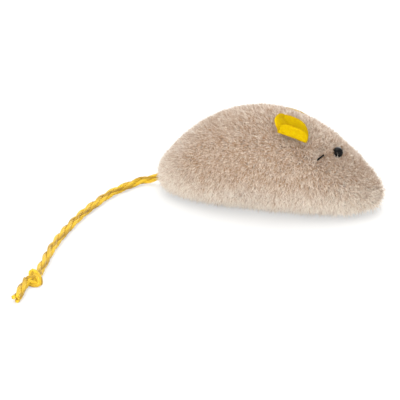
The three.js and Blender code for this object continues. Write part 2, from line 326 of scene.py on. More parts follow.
@dataclass(frozen=True)
class MottledFinish(Finish):
    """Felt, backing, filling and the like: two tones mixed by a noise of a real grain size."""

    grain: float = 0.5 * MM
    relief: float = 0.1 * MM
    detail: float = 4.0
    detail_roughness: float = 0.65
    spread: tuple[float, float] = (0.3, 0.7)
    bump_strength: float = 0.6

    def build(self) -> bpy.types.Material:
        """Make the material on object coordinates.

        Returns:
            The material.
        """
        material, tree, surface = self.shader()
        add = partial(add_node, tree)
        place = add("ShaderNodeTexCoord", out="Object")
        grain = add("ShaderNodeTexNoise", {
            "Vector": place, "Scale": 1 / self.grain, "Detail": self.detail,
            "Roughness": self.detail_roughness,
        })
        low, high = self.spread
        spread = add(MAP_RANGE, {"Value": grain, "From Min": low, "From Max": high})
        colour = add(MIX, {
            "Factor": spread, "A": linear(self.dark), "B": linear(self.light),
        }, data_type="RGBA")
        bump = add("ShaderNodeBump", {
            "Height": grain, "Strength": self.bump_strength, "Distance": self.relief,
        })
        tree.links.new(colour, surface.inputs["Base Color"])
        tree.links.new(bump, surface.inputs["Normal"])
        return material


# Sheared polyester plush: satin fibres that differ from tuft to tuft and darken towards the root
# The darker root is partly the fibres' own colour and partly painted shade deep in the pile
PILE = LaidFinish(
    "plush_pile", "#B2865B", "#FFF4E5", roughness=0.5, sheen=0.3, specular=0.5,
    root="#855534", root_share=0.6,
)
# Knitted polyester backing of the plush: matt and brown, seen only between the fibres
BACKING = MottledFinish(
    "plush_backing", "#97704F", "#B08A6C", roughness=0.95, sheen=0.1, grain=1.2 * MM,
)
# Needled wool-mix craft felt: dense and matt, in two close yellows
FELT = MottledFinish(
    "yellow_felt", "#C09600", "#CDB600", roughness=0.95, sheen=0.0, specular=0.1,
    grain=0.9 * MM, relief=0.12 * MM,
)
# Loose fibres of the felt: a matt bloom that softens its faces and its cut edge
FELT_FUZZ = LaidFinish(
    "yellow_felt_fuzz", "#CE9F00", "#E8C806", roughness=0.9, sheen=0.0, specular=0.1,
    root="#C09000",
)
# Twisted viscose cord: satin yarns of unlike yellows, with shade in the grooves between them
CORD = LaidFinish(
    "yellow_cord", "#916800", "#E4BE20", roughness=0.5, sheen=0.1, specular=0.4,
    root="#916800", root_share=0.05,
)
# Polished acrylic bead: black and glossy, with hardly any grain
BEAD = MottledFinish(
    "black_bead", "#050404", "#0C0A0A", roughness=0.08, sheen=0.0, ior=1.49, specular=0.12,
    grain=3 * MM, relief=0.002 * MM,
)
# Twisted polyester threads of the eyes and of the ears' tacks: the black one dull, the yellow one satin
BLACK_THREAD = LaidFinish(
    "black_thread", "#080706", "#171412", roughness=0.7, sheen=0.0, specular=0.2, root="#060505",
)
YELLOW_THREAD = LaidFinish(
    "yellow_thread", "#C08E08", "#E2B524", roughness=0.6, sheen=0.1, root="#B08006",
)
# What lies inside, all of it matt: white filling fibre, beige sewing thread, off-white non-woven sachet,
# crumbled green leaf, and the hidden parts of the black thread and of the cord
FILLING = MottledFinish(
    "filling_fibre", "#E6E3DB", "#FBFAF6", roughness=1.0, sheen=0.3, grain=2 * MM,
)
SEWING = MottledFinish(
    "beige_sewing_thread", "#A58D77", "#C2AA94", roughness=0.7, sheen=0.1, grain=0.3 * MM,
)
SACHET = MottledFinish(
    "sachet_nonwoven", "#DCD8CB", "#F1EEE4", roughness=0.9, sheen=0.1, grain=0.8 * MM,
)
LEAF = MottledFinish(
    "dried_leaf", "#4E5631", "#8C9560", roughness=1.0, sheen=0.0, grain=1.5 * MM,
)
HIDDEN_BLACK = MottledFinish(
    "black_inner_thread", "#0E0C0A", "#221E1A", roughness=0.7, sheen=0.1, grain=0.3 * MM,
)
HIDDEN_CORD = MottledFinish(
    "cord_inner_end", "#D6A530", "#F0CE66", roughness=0.8, sheen=0.1, grain=1 * MM,
)

INNER_FINISHES: dict[str, Finish] = {
    "stuffing": FILLING,
    "back_seam_thread": SEWING,
    "right_belly_seam_thread": SEWING,
    "left_belly_seam_thread": SEWING,
    "closing_thread": SEWING,
    "sachet_upper_sheet": SACHET,
    "sachet_lower_sheet": SACHET,
    "dried_catnip": LEAF,
    "eye_thread": HIDDEN_BLACK,
    "tail_anchor": HIDDEN_CORD,
}


# The body's form, as in the part's source


@dataclass(frozen=True)
class BodyForm:
    """The swelling, tapering body over the tips of its pile."""

    length: float = 115 * MM
    width: float = 54 * MM
    height: float = 48 * MM
    tip: float = 12.9 * MM
    floor_cut: float = 0.5 * MM
    seam: float = 5.2 * MM
    back_power: tuple[float, float] = (0.92, 1.02)
    plan_power: tuple[float, float] = (0.5, 0.6)
    belly_power: tuple[float, float] = (6.0, 5.5)
    roundness: tuple[float, float] = (2.1, 2.8)
    widest_share: float = 0.38

    def swell(self, share: np.ndarray, power: tuple[float, float]) -> np.ndarray:
        """Rise from 0 at the rump to 1 and back to 0 at the nose."""
        peak = power[0] / (power[0] + power[1])
        return (share / peak) ** power[0] * ((1 - share) / (1 - peak)) ** power[1]

    def section(self, share: np.ndarray, inset: float) -> dict[str, np.ndarray]:
        """Size the body across.

        Args:
            share: Share of the length, from the rump.
            inset: How far inside the pile's tips.

        Returns:
            Place along x, half width, and heights of the top, bottom and widest line.
        """
        power = np.where(share < 0.5, *self.belly_power)
        fall = np.maximum(1 - np.abs(2 * share - 1) ** power, 0) ** (1 / power)
        top = self.tip + (self.height - inset - self.tip) * self.swell(share, self.back_power)
        bottom = self.tip - (self.tip + self.floor_cut - inset) * fall
        return {
            "x": (share - 0.5) * (self.length - 2 * inset),
            "half": (self.width / 2 - inset) * self.swell(share, self.plan_power),
            "top": top,
            "bottom": bottom,
            "widest": bottom + self.widest_share * (top - bottom),
        }

    def point(self, share: Any, angle: Any, inset: float = 0.0) -> np.ndarray:
        """Place points on the form.

        Args:
            share: Shares of the length, from the rump.
            angle: Angles from the left flank over the back to the right flank.
            inset: How far inside the pile's tips.

        Returns:
            Points, with x, y and z last.
        """
        share, angle = np.broadcast_arrays(np.asarray(share, float), np.asarray(angle, float))
        size = self.section(share, inset)
        sine, cosine = np.sin(angle), np.cos(angle)
        power = 2 / np.where(sine > 0, *self.roundness)
        reach = np.where(sine > 0, size["top"] - size["widest"], size["widest"] - size["bottom"])
        y = size["half"] * np.sign(cosine) * np.abs(cosine) ** power
        z = size["widest"] + reach * np.sign(sine) * np.abs(sine) ** power
        return np.stack([size["x"], y, z], axis=-1)

    def seam_drop(self, share: np.ndarray, inset: float) -> np.ndarray:
        """Find how far below the widest line the belly seam runs.

        Args:
            share: Shares of the length, from the rump.
            inset: How far inside the pile's tips.

        Returns:
            The angle for each share.
        """
        size = self.section(share, inset)
        depth = np.maximum(size["widest"] - size["bottom"], TINY)
        drop = (size["widest"] - self.seam) / depth
        return np.arcsin(np.clip(drop, 0, 1) ** (self.roundness[1] / 2))

    def seam_end(self, inset: float, power: float) -> float:
        """Find the share of the length by which the belly has sunk to its seam at an end.

        Args:
            inset: How far inside the pile's tips.
            power: The belly's power at that end.

        Returns:
            The share, from that end.
        """
        fall = (self.tip - self.seam) / (self.tip + self.floor_cut - inset)
        return (1 - (1 - fall ** power) ** (1 / power)) / 2

    def seat(self, share: float, turn: float, side: Side) -> Matrix:
        """Make a frame on the plush: x along the body, y up the slope and z outwards.

        Args:
            share: Share of the length.
            turn: Degrees from the ridge of the back.
            side: The side of the mouse.

        Returns:
            The frame's matrix.
        """
        angle = math.pi / 2 + side.value * math.radians(turn)
        step = 1e-3
        along = Vector(self.point(share + step, angle) - self.point(share - step, angle))
        rise = Vector(self.point(share, angle - side.value * step)
                      - self.point(share, angle + side.value * step))
        x = along.normalized() * side.value
        y = (rise - x * rise.dot(x)).normalized()
        frame = Matrix((x, y, x.cross(y))).transposed().to_4x4()
        frame.translation = Vector(self.point(share, angle))
        return frame


FORM = BodyForm()


# Geometry node trees

# The soft rim of a clearing, as a multiple of its radius
CLEARING_RIM = 1.45
# The usual fibre as a share of the full length, and how rare longer guard hairs are
USUAL_FIBRE = 0.88
GUARD_RARITY = 4.0
# How much its tuft counts in a fibre's shade, beside its own luck
TUFT_WEIGHT = 2.8
TUFT_DETAIL = 2.0
SHADE_SEED = 7
# Where fibres and yarns lie in their map: across, then along
MAP_MARGIN = 0.02
MAP_SPREAD = 0.94
MAP_WIDTH = 0.03
RUN_START = 0.05
RUN_SPREAD = 0.9
RUN_WAVE = 0.02
# How late a cord's end opens, how many sides a yarn has, and the attributes that the trees work with
SPLAY_POWER = 6.0
YARN_SIDES = 6
HELPERS = ("comb", "tone", "loft", "fringe", "shade", "across", "along", "run")


def geometry_tree(
    name: str, inputs: dict[str, Sequence[str]],
) -> tuple[bpy.types.NodeTree, bpy.types.NodeOutputs]:
    """Start a tree with named inputs.

    Args:
        name: The tree's name.
        inputs: Kind of socket to the names of the inputs of that kind.

    Returns:
        The tree, and its inputs by name.
    """
    tree = bpy.data.node_groups.new(name, "GeometryNodeTree")
    tree.interface.new_socket("Geometry", in_out="OUTPUT", socket_type="NodeSocketGeometry")
    for kind, labels in inputs.items():
        for label in labels:
            tree.interface.new_socket(label, in_out="INPUT", socket_type="NodeSocket" + kind)
    return tree, tree.nodes.new("NodeGroupInput").outputs


def grow(
    tree: bpy.types.NodeTree, ground: bpy.types.Object, name: str, values: dict[str, Any],
) -> bpy.types.Object:
    """Run a tree on an object and keep the result as a plain mesh.

    Args:
        tree: The tree.
        ground: The object that it runs on, which is removed.
        name: The new object's name.
        values: Input name to its value.

    Returns:
        The new object.
    """
    modifier = ground.modifiers.new(tree.name, "NODES")
    modifier.node_group = tree
    for item in tree.interface.items_tree:
        if item.in_out == "INPUT" and item.name in values:
            modifier[item.identifier] = values[item.name]
    graph = bpy.context.evaluated_depsgraph_get()
    shown = ground.evaluated_get(graph)
    mesh = bpy.data.meshes.new_from_object(shown, preserve_all_data_layers=True, depsgraph=graph)
    ground.modifiers.remove(modifier)
    bpy.data.objects.remove(ground)
    for helper in HELPERS:
        if helper in mesh.attributes:
            mesh.attributes.remove(mesh.attributes[helper])
    mesh.name = name
    return new_object(name, mesh)


def rest_on_floor(
    tree: bpy.types.NodeTree, geometry: bpy.types.NodeSocket, floor: bpy.types.NodeSocket,
) -> bpy.types.NodeSocket:
    """Lift what lies below a height up to it.

    Args:
        tree: The tree.
        geometry: The fibres or yarns.
        floor: The height.

    Returns:
        The lifted fibres or yarns.
    """
    add = partial(add_node, tree)
    x = add(SEPARATE, {0: add("GeometryNodeInputPosition")}, out="X")
    spot = x.node.outputs
    lifted = add(MATH, {0: spot["Z"], 1: floor}, operation="MAXIMUM")
    resting = add(COMBINE, {"X": x, "Y": spot["Y"], "Z": lifted})
    return add("GeometryNodeSetPosition", {"Geometry": geometry, "Position": resting})


def store_lay_map(tree: bpy.types.NodeTree, geometry: bpy.types.NodeSocket) -> bpy.types.NodeSocket:
    """Store each fibre's own map: its shade, a little wider across, and its root to tip along.

    Args:
        tree: The tree.
        geometry: The fibres, with shade, across and along attributes.

    Returns:
        The fibres with the map.
    """
    add = partial(add_node, tree)
    shade, across, along = (
        add(ATTRIBUTE, {"Name": name}, data_type="FLOAT") for name in ("shade", "across", "along")
    )
    spread = add(MATH, {0: shade, 1: MAP_SPREAD, 2: MAP_MARGIN}, operation="MULTIPLY_ADD")
    over = add(MATH, {0: across, 1: MAP_WIDTH, 2: spread}, operation="MULTIPLY_ADD")
    place = add(COMBINE, {"X": over, "Y": along})
    return add(STORE, {
        "Geometry": geometry, "Name": LAY_MAP, "Value": place,
    }, data_type="FLOAT2", domain="CORNER")


def pile_tree() -> bpy.types.NodeTree:
    """Make the tree that plants fibres on a ground.

    Returns:
        The tree. The ground's comb, tone, loft and fringe attributes steer the fibres.
    """
    tree, value = geometry_tree("pile", {
        "Geometry": ("Geometry",), "Object": ("Fibre",), "Material": ("Material",),
        "Float": (
            "Density", "Length", "Width", "Ruffle", "Stray", "Tufts", "Contrast", "Guard Hair",
            "Clearing Radius", "Trim", "Floor",
        ),
        "Vector": ("Clearing",), "Int": ("Seed",),
    })
    add = partial(add_node, tree)
    points = add("GeometryNodeDistributePointsOnFaces", {
        "Mesh": value["Geometry"], "Density": value["Density"], "Seed": value["Seed"],
    }, distribute_method="RANDOM")
    normal = points.node.outputs["Normal"]
    position = add("GeometryNodeInputPosition")
    comb = add(ATTRIBUTE, {"Name": "comb"}, data_type="FLOAT_VECTOR")
    tone, loft, fringe = (
        add(ATTRIBUTE, {"Name": name}, data_type="FLOAT") for name in ("tone", "loft", "fringe")
    )
    tuft = add("ShaderNodeTexNoise", {
        "Vector": position, "Scale": value["Tufts"], "Detail": TUFT_DETAIL,
    }, out="Color")
    centred = add(VECTOR_MATH, {0: tuft, 1: (0.5, 0.5, 0.5)}, operation="SUBTRACT")
    ruffle = add(VECTOR_MATH, {0: centred, "Scale": value["Ruffle"]}, operation="SCALE")
    random_way = add(RANDOM, {
        "Min": (-1, -1, -1), "Max": (1, 1, 1), "Seed": value["Seed"],
    }, data_type="FLOAT_VECTOR")
    stray = add(VECTOR_MATH, {0: random_way, "Scale": value["Stray"]}, operation="SCALE")
    lean = add(VECTOR_MATH, {0: comb, 1: ruffle}, operation="ADD")
    bent = add(VECTOR_MATH, {0: lean, 1: stray}, operation="ADD")
    way = add(VECTOR_MATH, {0: normal, 1: bent}, operation="ADD")
    rotation = add("FunctionNodeAxesToRotation", {
        "Primary Axis": way, "Secondary Axis": bent,
    }, primary_axis="Z", secondary_axis="X")
    radius = value["Clearing Radius"]
    apart = add(VECTOR_MATH, {0: position, 1: value["Clearing"]}, out="Value", operation="DISTANCE")
    kept = add(MATH, {0: apart, 1: radius}, operation="GREATER_THAN")
    rim = add(MATH, {0: radius, 1: CLEARING_RIM}, operation="MULTIPLY")
    trim = add(MAP_RANGE, {
        "Value": apart, "From Min": radius, "From Max": rim, "To Min": value["Trim"],
    })
    luck = add(RANDOM, {"Min": 0.0, "Max": 1.0, "Seed": value["Seed"]}, data_type="FLOAT")
    rare = add(MATH, {0: luck, 1: GUARD_RARITY}, operation="POWER")
    guard = add(MATH, {0: fringe, 1: value["Guard Hair"]}, operation="MULTIPLY")
    length = add(MATH, {0: rare, 1: guard, 2: USUAL_FIBRE}, operation="MULTIPLY_ADD")
    for share in (value["Length"], loft, trim):
        length = add(MATH, {0: length, 1: share}, operation="MULTIPLY")
    scale = add(COMBINE, {"X": value["Width"], "Y": value["Width"], "Z": length})
    fibre = add("GeometryNodeObjectInfo", {"Object": value["Fibre"]}, out="Geometry")
    planted = add("GeometryNodeInstanceOnPoints", {
        "Points": points, "Selection": kept, "Instance": fibre, "Rotation": rotation, "Scale": scale,
    })
    chance = add(RANDOM, {"Min": -0.5, "Max": 0.5, "Seed": SHADE_SEED}, data_type="FLOAT")
    tuft_part = add(MATH, {0: tuft.node.outputs[0], 1: 0.5}, operation="SUBTRACT")
    mixed = add(MATH, {0: tuft_part, 1: TUFT_WEIGHT, 2: chance}, operation="MULTIPLY_ADD")
    shade = add(MATH, {
        0: mixed, 1: value["Contrast"], 2: tone,
    }, operation="MULTIPLY_ADD", use_clamp=True)
    toned = add(STORE, {
        "Geometry": planted, "Name": "shade", "Value": shade,
    }, data_type="FLOAT", domain="INSTANCE")
    real = add("GeometryNodeRealizeInstances", {"Geometry": toned})
    mapped = store_lay_map(tree, rest_on_floor(tree, real, value["Floor"]))
    add("NodeGroupOutput", {"Geometry": add("GeometryNodeSetMaterial", {
        "Geometry": mapped, "Material": value["Material"],
    })})
    return tree


def cord_tree() -> bpy.types.NodeTree:
    """Make the tree that lays yarns into strands and strands into a cord along a route.

    Returns:
        The tree.
    """
    tree, value = geometry_tree("cord_lay", {
        "Geometry": ("Geometry",), "Material": ("Material",), "Int": ("Strands", "Yarns", "Seed"),
        "Float": (
            "Strand Offset", "Yarn Offset", "Yarn Radius", "Lead", "Yarn Lead", "Start", "Splay", "Floor",
        ),
    })
    add = partial(add_node, tree)
    line = add("GeometryNodeMeshToCurve", {"Mesh": value["Geometry"]})
    amount = add(MATH, {0: value["Strands"], 1: value["Yarns"]}, operation="MULTIPLY")
    yarns = add("GeometryNodeDuplicateElements", {"Geometry": line, "Amount": amount}, domain="SPLINE")
    index = yarns.node.outputs["Duplicate Index"]
    far = add("GeometryNodeSplineParameter", out="Length")
    share = far.node.outputs["Factor"]
    normal = add("GeometryNodeInputNormal")
    tangent = add("GeometryNodeInputTangent")
    sideways = add(VECTOR_MATH, {0: tangent, 1: normal}, operation="CROSS_PRODUCT")
    quotient = add(MATH, {0: index, 1: value["Yarns"]}, operation="DIVIDE")
    strand = add(MATH, {0: quotient}, operation="FLOOR")
    run = add(MATH, {0: far, 1: value["Start"]}, operation="ADD")
    late = add(MATH, {0: share, 1: SPLAY_POWER}, operation="POWER")
    flare = add(MATH, {0: late, 1: value["Splay"], 2: 1.0}, operation="MULTIPLY_ADD")
    strand_reach = add(MATH, {0: value["Strand Offset"], 1: flare}, operation="MULTIPLY")
    # The first yarn of each strand is its core, and the others lie round it
    round_core = add(MATH, {0: value["Yarns"], 1: 1.0}, operation="SUBTRACT")
    place = add(MATH, {0: index, 1: value["Yarns"]}, operation="MODULO")
    off_core = add(MATH, {0: place, 1: 0.5}, operation="GREATER_THAN")
    yarn_reach = add(MATH, {0: value["Yarn Offset"], 1: off_core}, operation="MULTIPLY")
    offsets: list[bpy.types.NodeSocket] = []
    for number, count, lead, reach in (
        (strand, value["Strands"], "Lead", strand_reach),
        (place, round_core, "Yarn Lead", yarn_reach),
    ):
        first = add(MATH, {0: number, 1: count}, operation="DIVIDE")
        turned = add(MATH, {0: run, 1: value[lead]}, operation="DIVIDE")
        whole = add(MATH, {0: first, 1: turned}, operation="ADD")
        angle = add(MATH, {0: whole, 1: TURN}, operation="MULTIPLY")
        cosine = add(MATH, {0: angle}, operation="COSINE")
        sine = add(MATH, {0: angle}, operation="SINE")
        up = add(VECTOR_MATH, {0: normal, "Scale": cosine}, operation="SCALE")
        out = add(VECTOR_MATH, {0: sideways, "Scale": sine}, operation="SCALE")
        round_it = add(VECTOR_MATH, {0: up, 1: out}, operation="ADD")
        offsets.append(add(VECTOR_MATH, {0: round_it, "Scale": reach}, operation="SCALE"))
    both = add(VECTOR_MATH, {0: offsets[0], 1: offsets[1]}, operation="ADD")
    chance = add(RANDOM, {"ID": index, "Seed": value["Seed"]}, data_type="FLOAT")
    shaded = add(STORE, {
        "Geometry": yarns, "Name": "shade", "Value": chance,
    }, data_type="FLOAT", domain="CURVE")
    measured = add(STORE, {
        "Geometry": shaded, "Name": "run", "Value": share,
    }, data_type="FLOAT", domain="POINT")
    laid = add("GeometryNodeSetPosition", {"Geometry": measured, "Offset": both})
    pressed = rest_on_floor(tree, laid, value["Floor"])
    ring = add("GeometryNodeCurvePrimitiveCircle", {
        "Resolution": YARN_SIDES, "Radius": value["Yarn Radius"],
    })
    ring_share = add("GeometryNodeSplineParameter", out="Factor")
    ringed = add(STORE, {
        "Geometry": ring, "Name": "across", "Value": ring_share,
    }, data_type="FLOAT", domain="POINT")
    tubes = add("GeometryNodeCurveToMesh", {
        "Curve": pressed, "Profile Curve": ringed, "Fill Caps": True,
    })
    across, run_share = (
        add(ATTRIBUTE, {"Name": name}, data_type="FLOAT") for name in ("across", "run")
    )
    swing = add(MATH, {0: across, 1: TURN}, operation="MULTIPLY")
    wave = add(MATH, {0: swing}, operation="COSINE")
    base = add(MATH, {0: run_share, 1: RUN_SPREAD, 2: RUN_START}, operation="MULTIPLY_ADD")
    along = add(MATH, {0: wave, 1: RUN_WAVE, 2: base}, operation="MULTIPLY_ADD")
    waved = add(STORE, {
        "Geometry": tubes, "Name": "along", "Value": along,
    }, data_type="FLOAT", domain="POINT")
    real = add("GeometryNodeRealizeInstances", {"Geometry": store_lay_map(tree, waved)})
    smooth = add("GeometryNodeSetShadeSmooth", {"Geometry": real})
    add("NodeGroupOutput", {"Geometry": add("GeometryNodeSetMaterial", {
        "Geometry": smooth, "Material": value["Material"],
    })})
    return tree


# Fibres and cords


@dataclass(frozen=True)
class Nap:
    """How fibres stand: their size, how far they stray, how their shades differ and where they stop."""

    length: float
    width: float
    ruffle: float
    stray: float
    tuft: float
    contrast: float
    guard_hair: float
    floor: float


PLUSH_NAP = Nap(
    length=4.4 * MM, width=0.13 * MM, ruffle=1.5, stray=0.5, tuft=0.6 * MM, contrast=1.35,
    guard_hair=0.25, floor=0.02 * MM,
)
FELT_NAP = Nap(
    length=0.55 * MM, width=0.05 * MM, ruffle=3.0, stray=1.6, tuft=1 * MM, contrast=0.6,
    guard_hair=0.3, floor=0.0,
)


@dataclass(frozen=True)
class Clearing:
    """A bare spot in the pile, and the share of its length that a fibre keeps at the spot's edge."""

    place: tuple[float, float, float]
    radius: float
    trim: float


# A spot far below the floor, for a ground without a clearing
NO_CLEARING = Clearing((0.0, 0.0, -1.0), 1 * MM, 1.0)


def plant(
    tree: bpy.types.NodeTree, ground: bpy.types.Object, name: str, nap: Nap,
    fibre: bpy.types.Object, material: bpy.types.Material, per_square_mm: float, seed: int,
    clearing: Clearing = NO_CLEARING,
) -> bpy.types.Object:
    """Plant fibres on a ground.

    Args:
        tree: The tree that plants fibres.
        ground: The ground, which is removed.
        name: The piece's name.
        nap: How the fibres stand.
        fibre: The fibre.
        material: The fibres' material.
        per_square_mm: Fibres to a square millimetre.
        seed: The seed of what is random.
        clearing: The spot that stays bare.

    Returns:
        The piece.
    """
    return grow(tree, ground, name, {
        "Fibre": fibre, "Material": material, "Density": per_square_mm / MM ** 2, "Seed": seed,
        "Length": nap.length, "Width": nap.width, "Ruffle": nap.ruffle, "Stray": nap.stray,
        "Tufts": 1 / nap.tuft, "Contrast": nap.contrast, "Guard Hair": nap.guard_hair,
        "Floor": nap.floor, "Clearing": clearing.place, "Clearing Radius": clearing.radius,
        "Trim": clearing.trim,
    })


def make_fibre(name: str, bend: float) -> bpy.types.Object:
    """Make one tapering fibre of unit width and height that bends towards +x.

    Args:
        name: The object's name.
        bend: How far its tip bends over, in widths.

    Returns:
        The fibre, with its across and along attributes.
    """
    middle, middle_radius, middle_bend = 0.55, 0.85, 0.3
    points: list[tuple[float, float, float]] = []
    for height, radius, over in ((0.0, 1.0, 0.0), (middle, middle_radius, middle_bend)):
        for k in range(3):
            angle = TURN * k / 3
            points.append((over * bend + radius * math.cos(angle), radius * math.sin(angle), height))
    points.append((bend, 0, 1))
    faces = [(2, 1, 0)]
    for k in range(3):
        faces += [(k, (k + 1) % 3, 3 + (k + 1) % 3, 3 + k), (3 + k, 3 + (k + 1) % 3, 6)]
    mesh = bpy.data.meshes.new(name)
    mesh.from_pydata(points, [], faces)
    mesh.shade_smooth()
    # The root's middle corner lies a little along, so that its face has an area in the map
    store_values(mesh, "across", np.array([0, 0.5, 1, 0, 0.5, 1, 0.5]))
    store_values(mesh, "along", np.array([0, 0.03, 0, middle, middle, middle, 1]))
    return new_object(name, mesh)


@dataclass(frozen=True)
class Lay:
    """How a cord is laid up: strands of yarns, with a minus sign for a left-handed lead."""

    strands: int
    yarns: int
    strand_offset: float
    yarn_offset: float
    yarn_radius: float
    lead: float
    yarn_lead: float


# Three strands of seven yarns; each strand shows about 10 mm along the cord
TAIL_LAY = Lay(3, 7, 1.02 * MM, 0.66 * MM, 0.4 * MM, -28 * MM, 14 * MM)
KNOT_LAY = Lay(3, 7, 0.88 * MM, 0.58 * MM, 0.36 * MM, -24 * MM, 12 * MM)
EYE_THREAD = Lay(2, 1, 0.25 * MM, 0.0, 0.3 * MM, 1.8 * MM, 1 * MM)
TACK_THREAD = Lay(2, 1, 0.19 * MM, 0.0, 0.21 * MM, 1.6 * MM, 1 * MM)
# The height at which a yarn rests on the floor, in its own radii, and the seed of the yarns' shades
YARN_REST = 1.1
YARN_SEED = 3


def lay_cord(
    tree: bpy.types.NodeTree, name: str, route: np.ndarray, lay: Lay, finish: Finish,
    start: float = 0.0, splay: float = 0.0,
) -> bpy.types.Object:
    """Lay a cord along a route.

    Args:
        tree: The tree that lays yarns.
        name: The piece's name.
        route: Closely spaced points.
        lay: The make-up of the cord.
        finish: Its finish.
        start: Length of cord before the route, so that the lay runs on.
        splay: How far the yarns open at the far end.

    Returns:
        The piece.
    """
    mesh = bpy.data.meshes.new("route")
    mesh.from_pydata([tuple(p) for p in route], [(k, k + 1) for k in range(len(route) - 1)], [])
    return grow(tree, new_object("route", mesh), name, {
        "Material": finish.build(), "Strands": lay.strands, "Yarns": lay.yarns,
        "Strand Offset": lay.strand_offset, "Yarn Offset": lay.yarn_offset,
        "Yarn Radius": lay.yarn_radius, "Lead": lay.lead, "Yarn Lead": lay.yarn_lead,
        "Start": start, "Splay": splay, "Floor": YARN_REST * lay.yarn_radius, "Seed": YARN_SEED,
    })


# Sub-assemblies


@dataclass
class Filling:
    """The filling's push on the closed skin: a cloth simulation of it, held where it is sewn."""

    inset: float
    rows: int = 60
    columns: int = 72
    voxel: float = 5 * MM
    pressure: float = 4.0
    mass: float = 0.001
    stretch: float = 0.03
    bending: float = 0.001
    frames: int = 20
    cap: float = 1.2 * MM
    belly_reach: float = 2.5 * MM
    back_reach: float = 8 * MM
    back_slope: float = 0.3
    sewn_reach: float = 4 * MM
    near: int = 6
    tree: KDTree | None = None
    moves: np.ndarray = field(default_factory=lambda: np.zeros((0, 3)))

    def make_skin(self) -> bpy.types.Object:
        """Make the closed skin of even quads.

        Returns:
            The skin.
        """
        shares = (1 - np.cos(np.linspace(0, math.pi, self.rows))) / 2
        angles = np.linspace(0, TURN, self.columns, endpoint=False)
        points = FORM.point(shares[:, None], angles, self.inset)
        rough = new_object("skin", grid_mesh("skin", points, True))
        remesh = rough.modifiers.new("even", "REMESH")
        remesh.mode = "VOXEL"
        remesh.voxel_size = self.voxel
        graph = bpy.context.evaluated_depsgraph_get()
        even = bpy.data.meshes.new_from_object(rough.evaluated_get(graph), depsgraph=graph)
        bpy.data.objects.remove(rough)
        return new_object("skin", even)

    def hold(self, skin: bpy.types.Object, sewn: Sequence[Vector]) -> None:
        """Pin the skin at its seams and at what is sewn to it.

        Args:
            skin: The skin.
            sewn: Places of the ears, the eyes and the tail.
        """
        group = skin.vertex_groups.new(name="sewn")
        for vertex in skin.data.vertices:
            place = vertex.co
            belly = max(place.z - FORM.seam, 0) / self.belly_reach
            on_back = vertex.normal.z > self.back_slope
            back = abs(place.y) / self.back_reach if on_back else math.inf
            gap = min((place - spot).length for spot in sewn) / self.sewn_reach
            group.add([vertex.index], min(max(2 - min(belly, back, gap), 0), 1), "REPLACE")

    def simulate(self, sewn: Sequence[Vector]) -> None:
        """Let the filling push the skin, and keep how far each place of it moves.

        Args:
            sewn: Places of the ears, the eyes and the tail.
        """
        skin = self.make_skin()
        self.hold(skin, sewn)
        rest = np.array([v.co for v in skin.data.vertices])
        cloth = skin.modifiers.new("filling", "CLOTH")
        settings = cloth.settings
        settings.mass = self.mass
        settings.tension_stiffness = self.stretch
        settings.compression_stiffness = self.stretch
        settings.shear_stiffness = self.stretch / 3
        settings.bending_stiffness = self.bending
        settings.use_pressure = True
        settings.uniform_pressure_force = self.pressure
        settings.vertex_group_mass = "sewn"
        settings.effector_weights.gravity = 0.0
        cloth.point_cache.frame_start = 1
        cloth.point_cache.frame_end = self.frames
        scene = bpy.context.scene
        for frame in range(1, self.frames + 1):
            scene.frame_set(frame)
        graph = bpy.context.evaluated_depsgraph_get()
        shown = skin.evaluated_get(graph).to_mesh()
        moves = np.array([v.co for v in shown.vertices]) - rest
        far = np.linalg.norm(moves, axis=1)
        LOG.info("filling: the skin moves %.2f mm at most, %.2f mm on average",
                 far.max() / MM, far.mean() / MM)
        self.moves = moves * np.minimum(1, self.cap / np.maximum(far, TINY))[:, None]
        self.tree = KDTree(len(rest))
        for number, place in enumerate(rest):
            self.tree.insert(place, number)
        self.tree.balance()
        bpy.data.objects.remove(skin)
        scene.frame_set(1)

    def push(self, points: np.ndarray) -> np.ndarray:
        """Move points with the skin.

        Args:
            points: Points, with x, y and z last.

        Returns:
            The moved points.
        """
        moved = points.reshape(-1, 3).copy()
        for place in moved:
            found = self.tree.find_n(place, self.near)
            weights = np.array([1 / (gap + MM) ** 2 for _, _, gap in found])
            place += weights @ self.moves[[number for _, number, _ in found]] / weights.sum()
        return moved.reshape(points.shape)


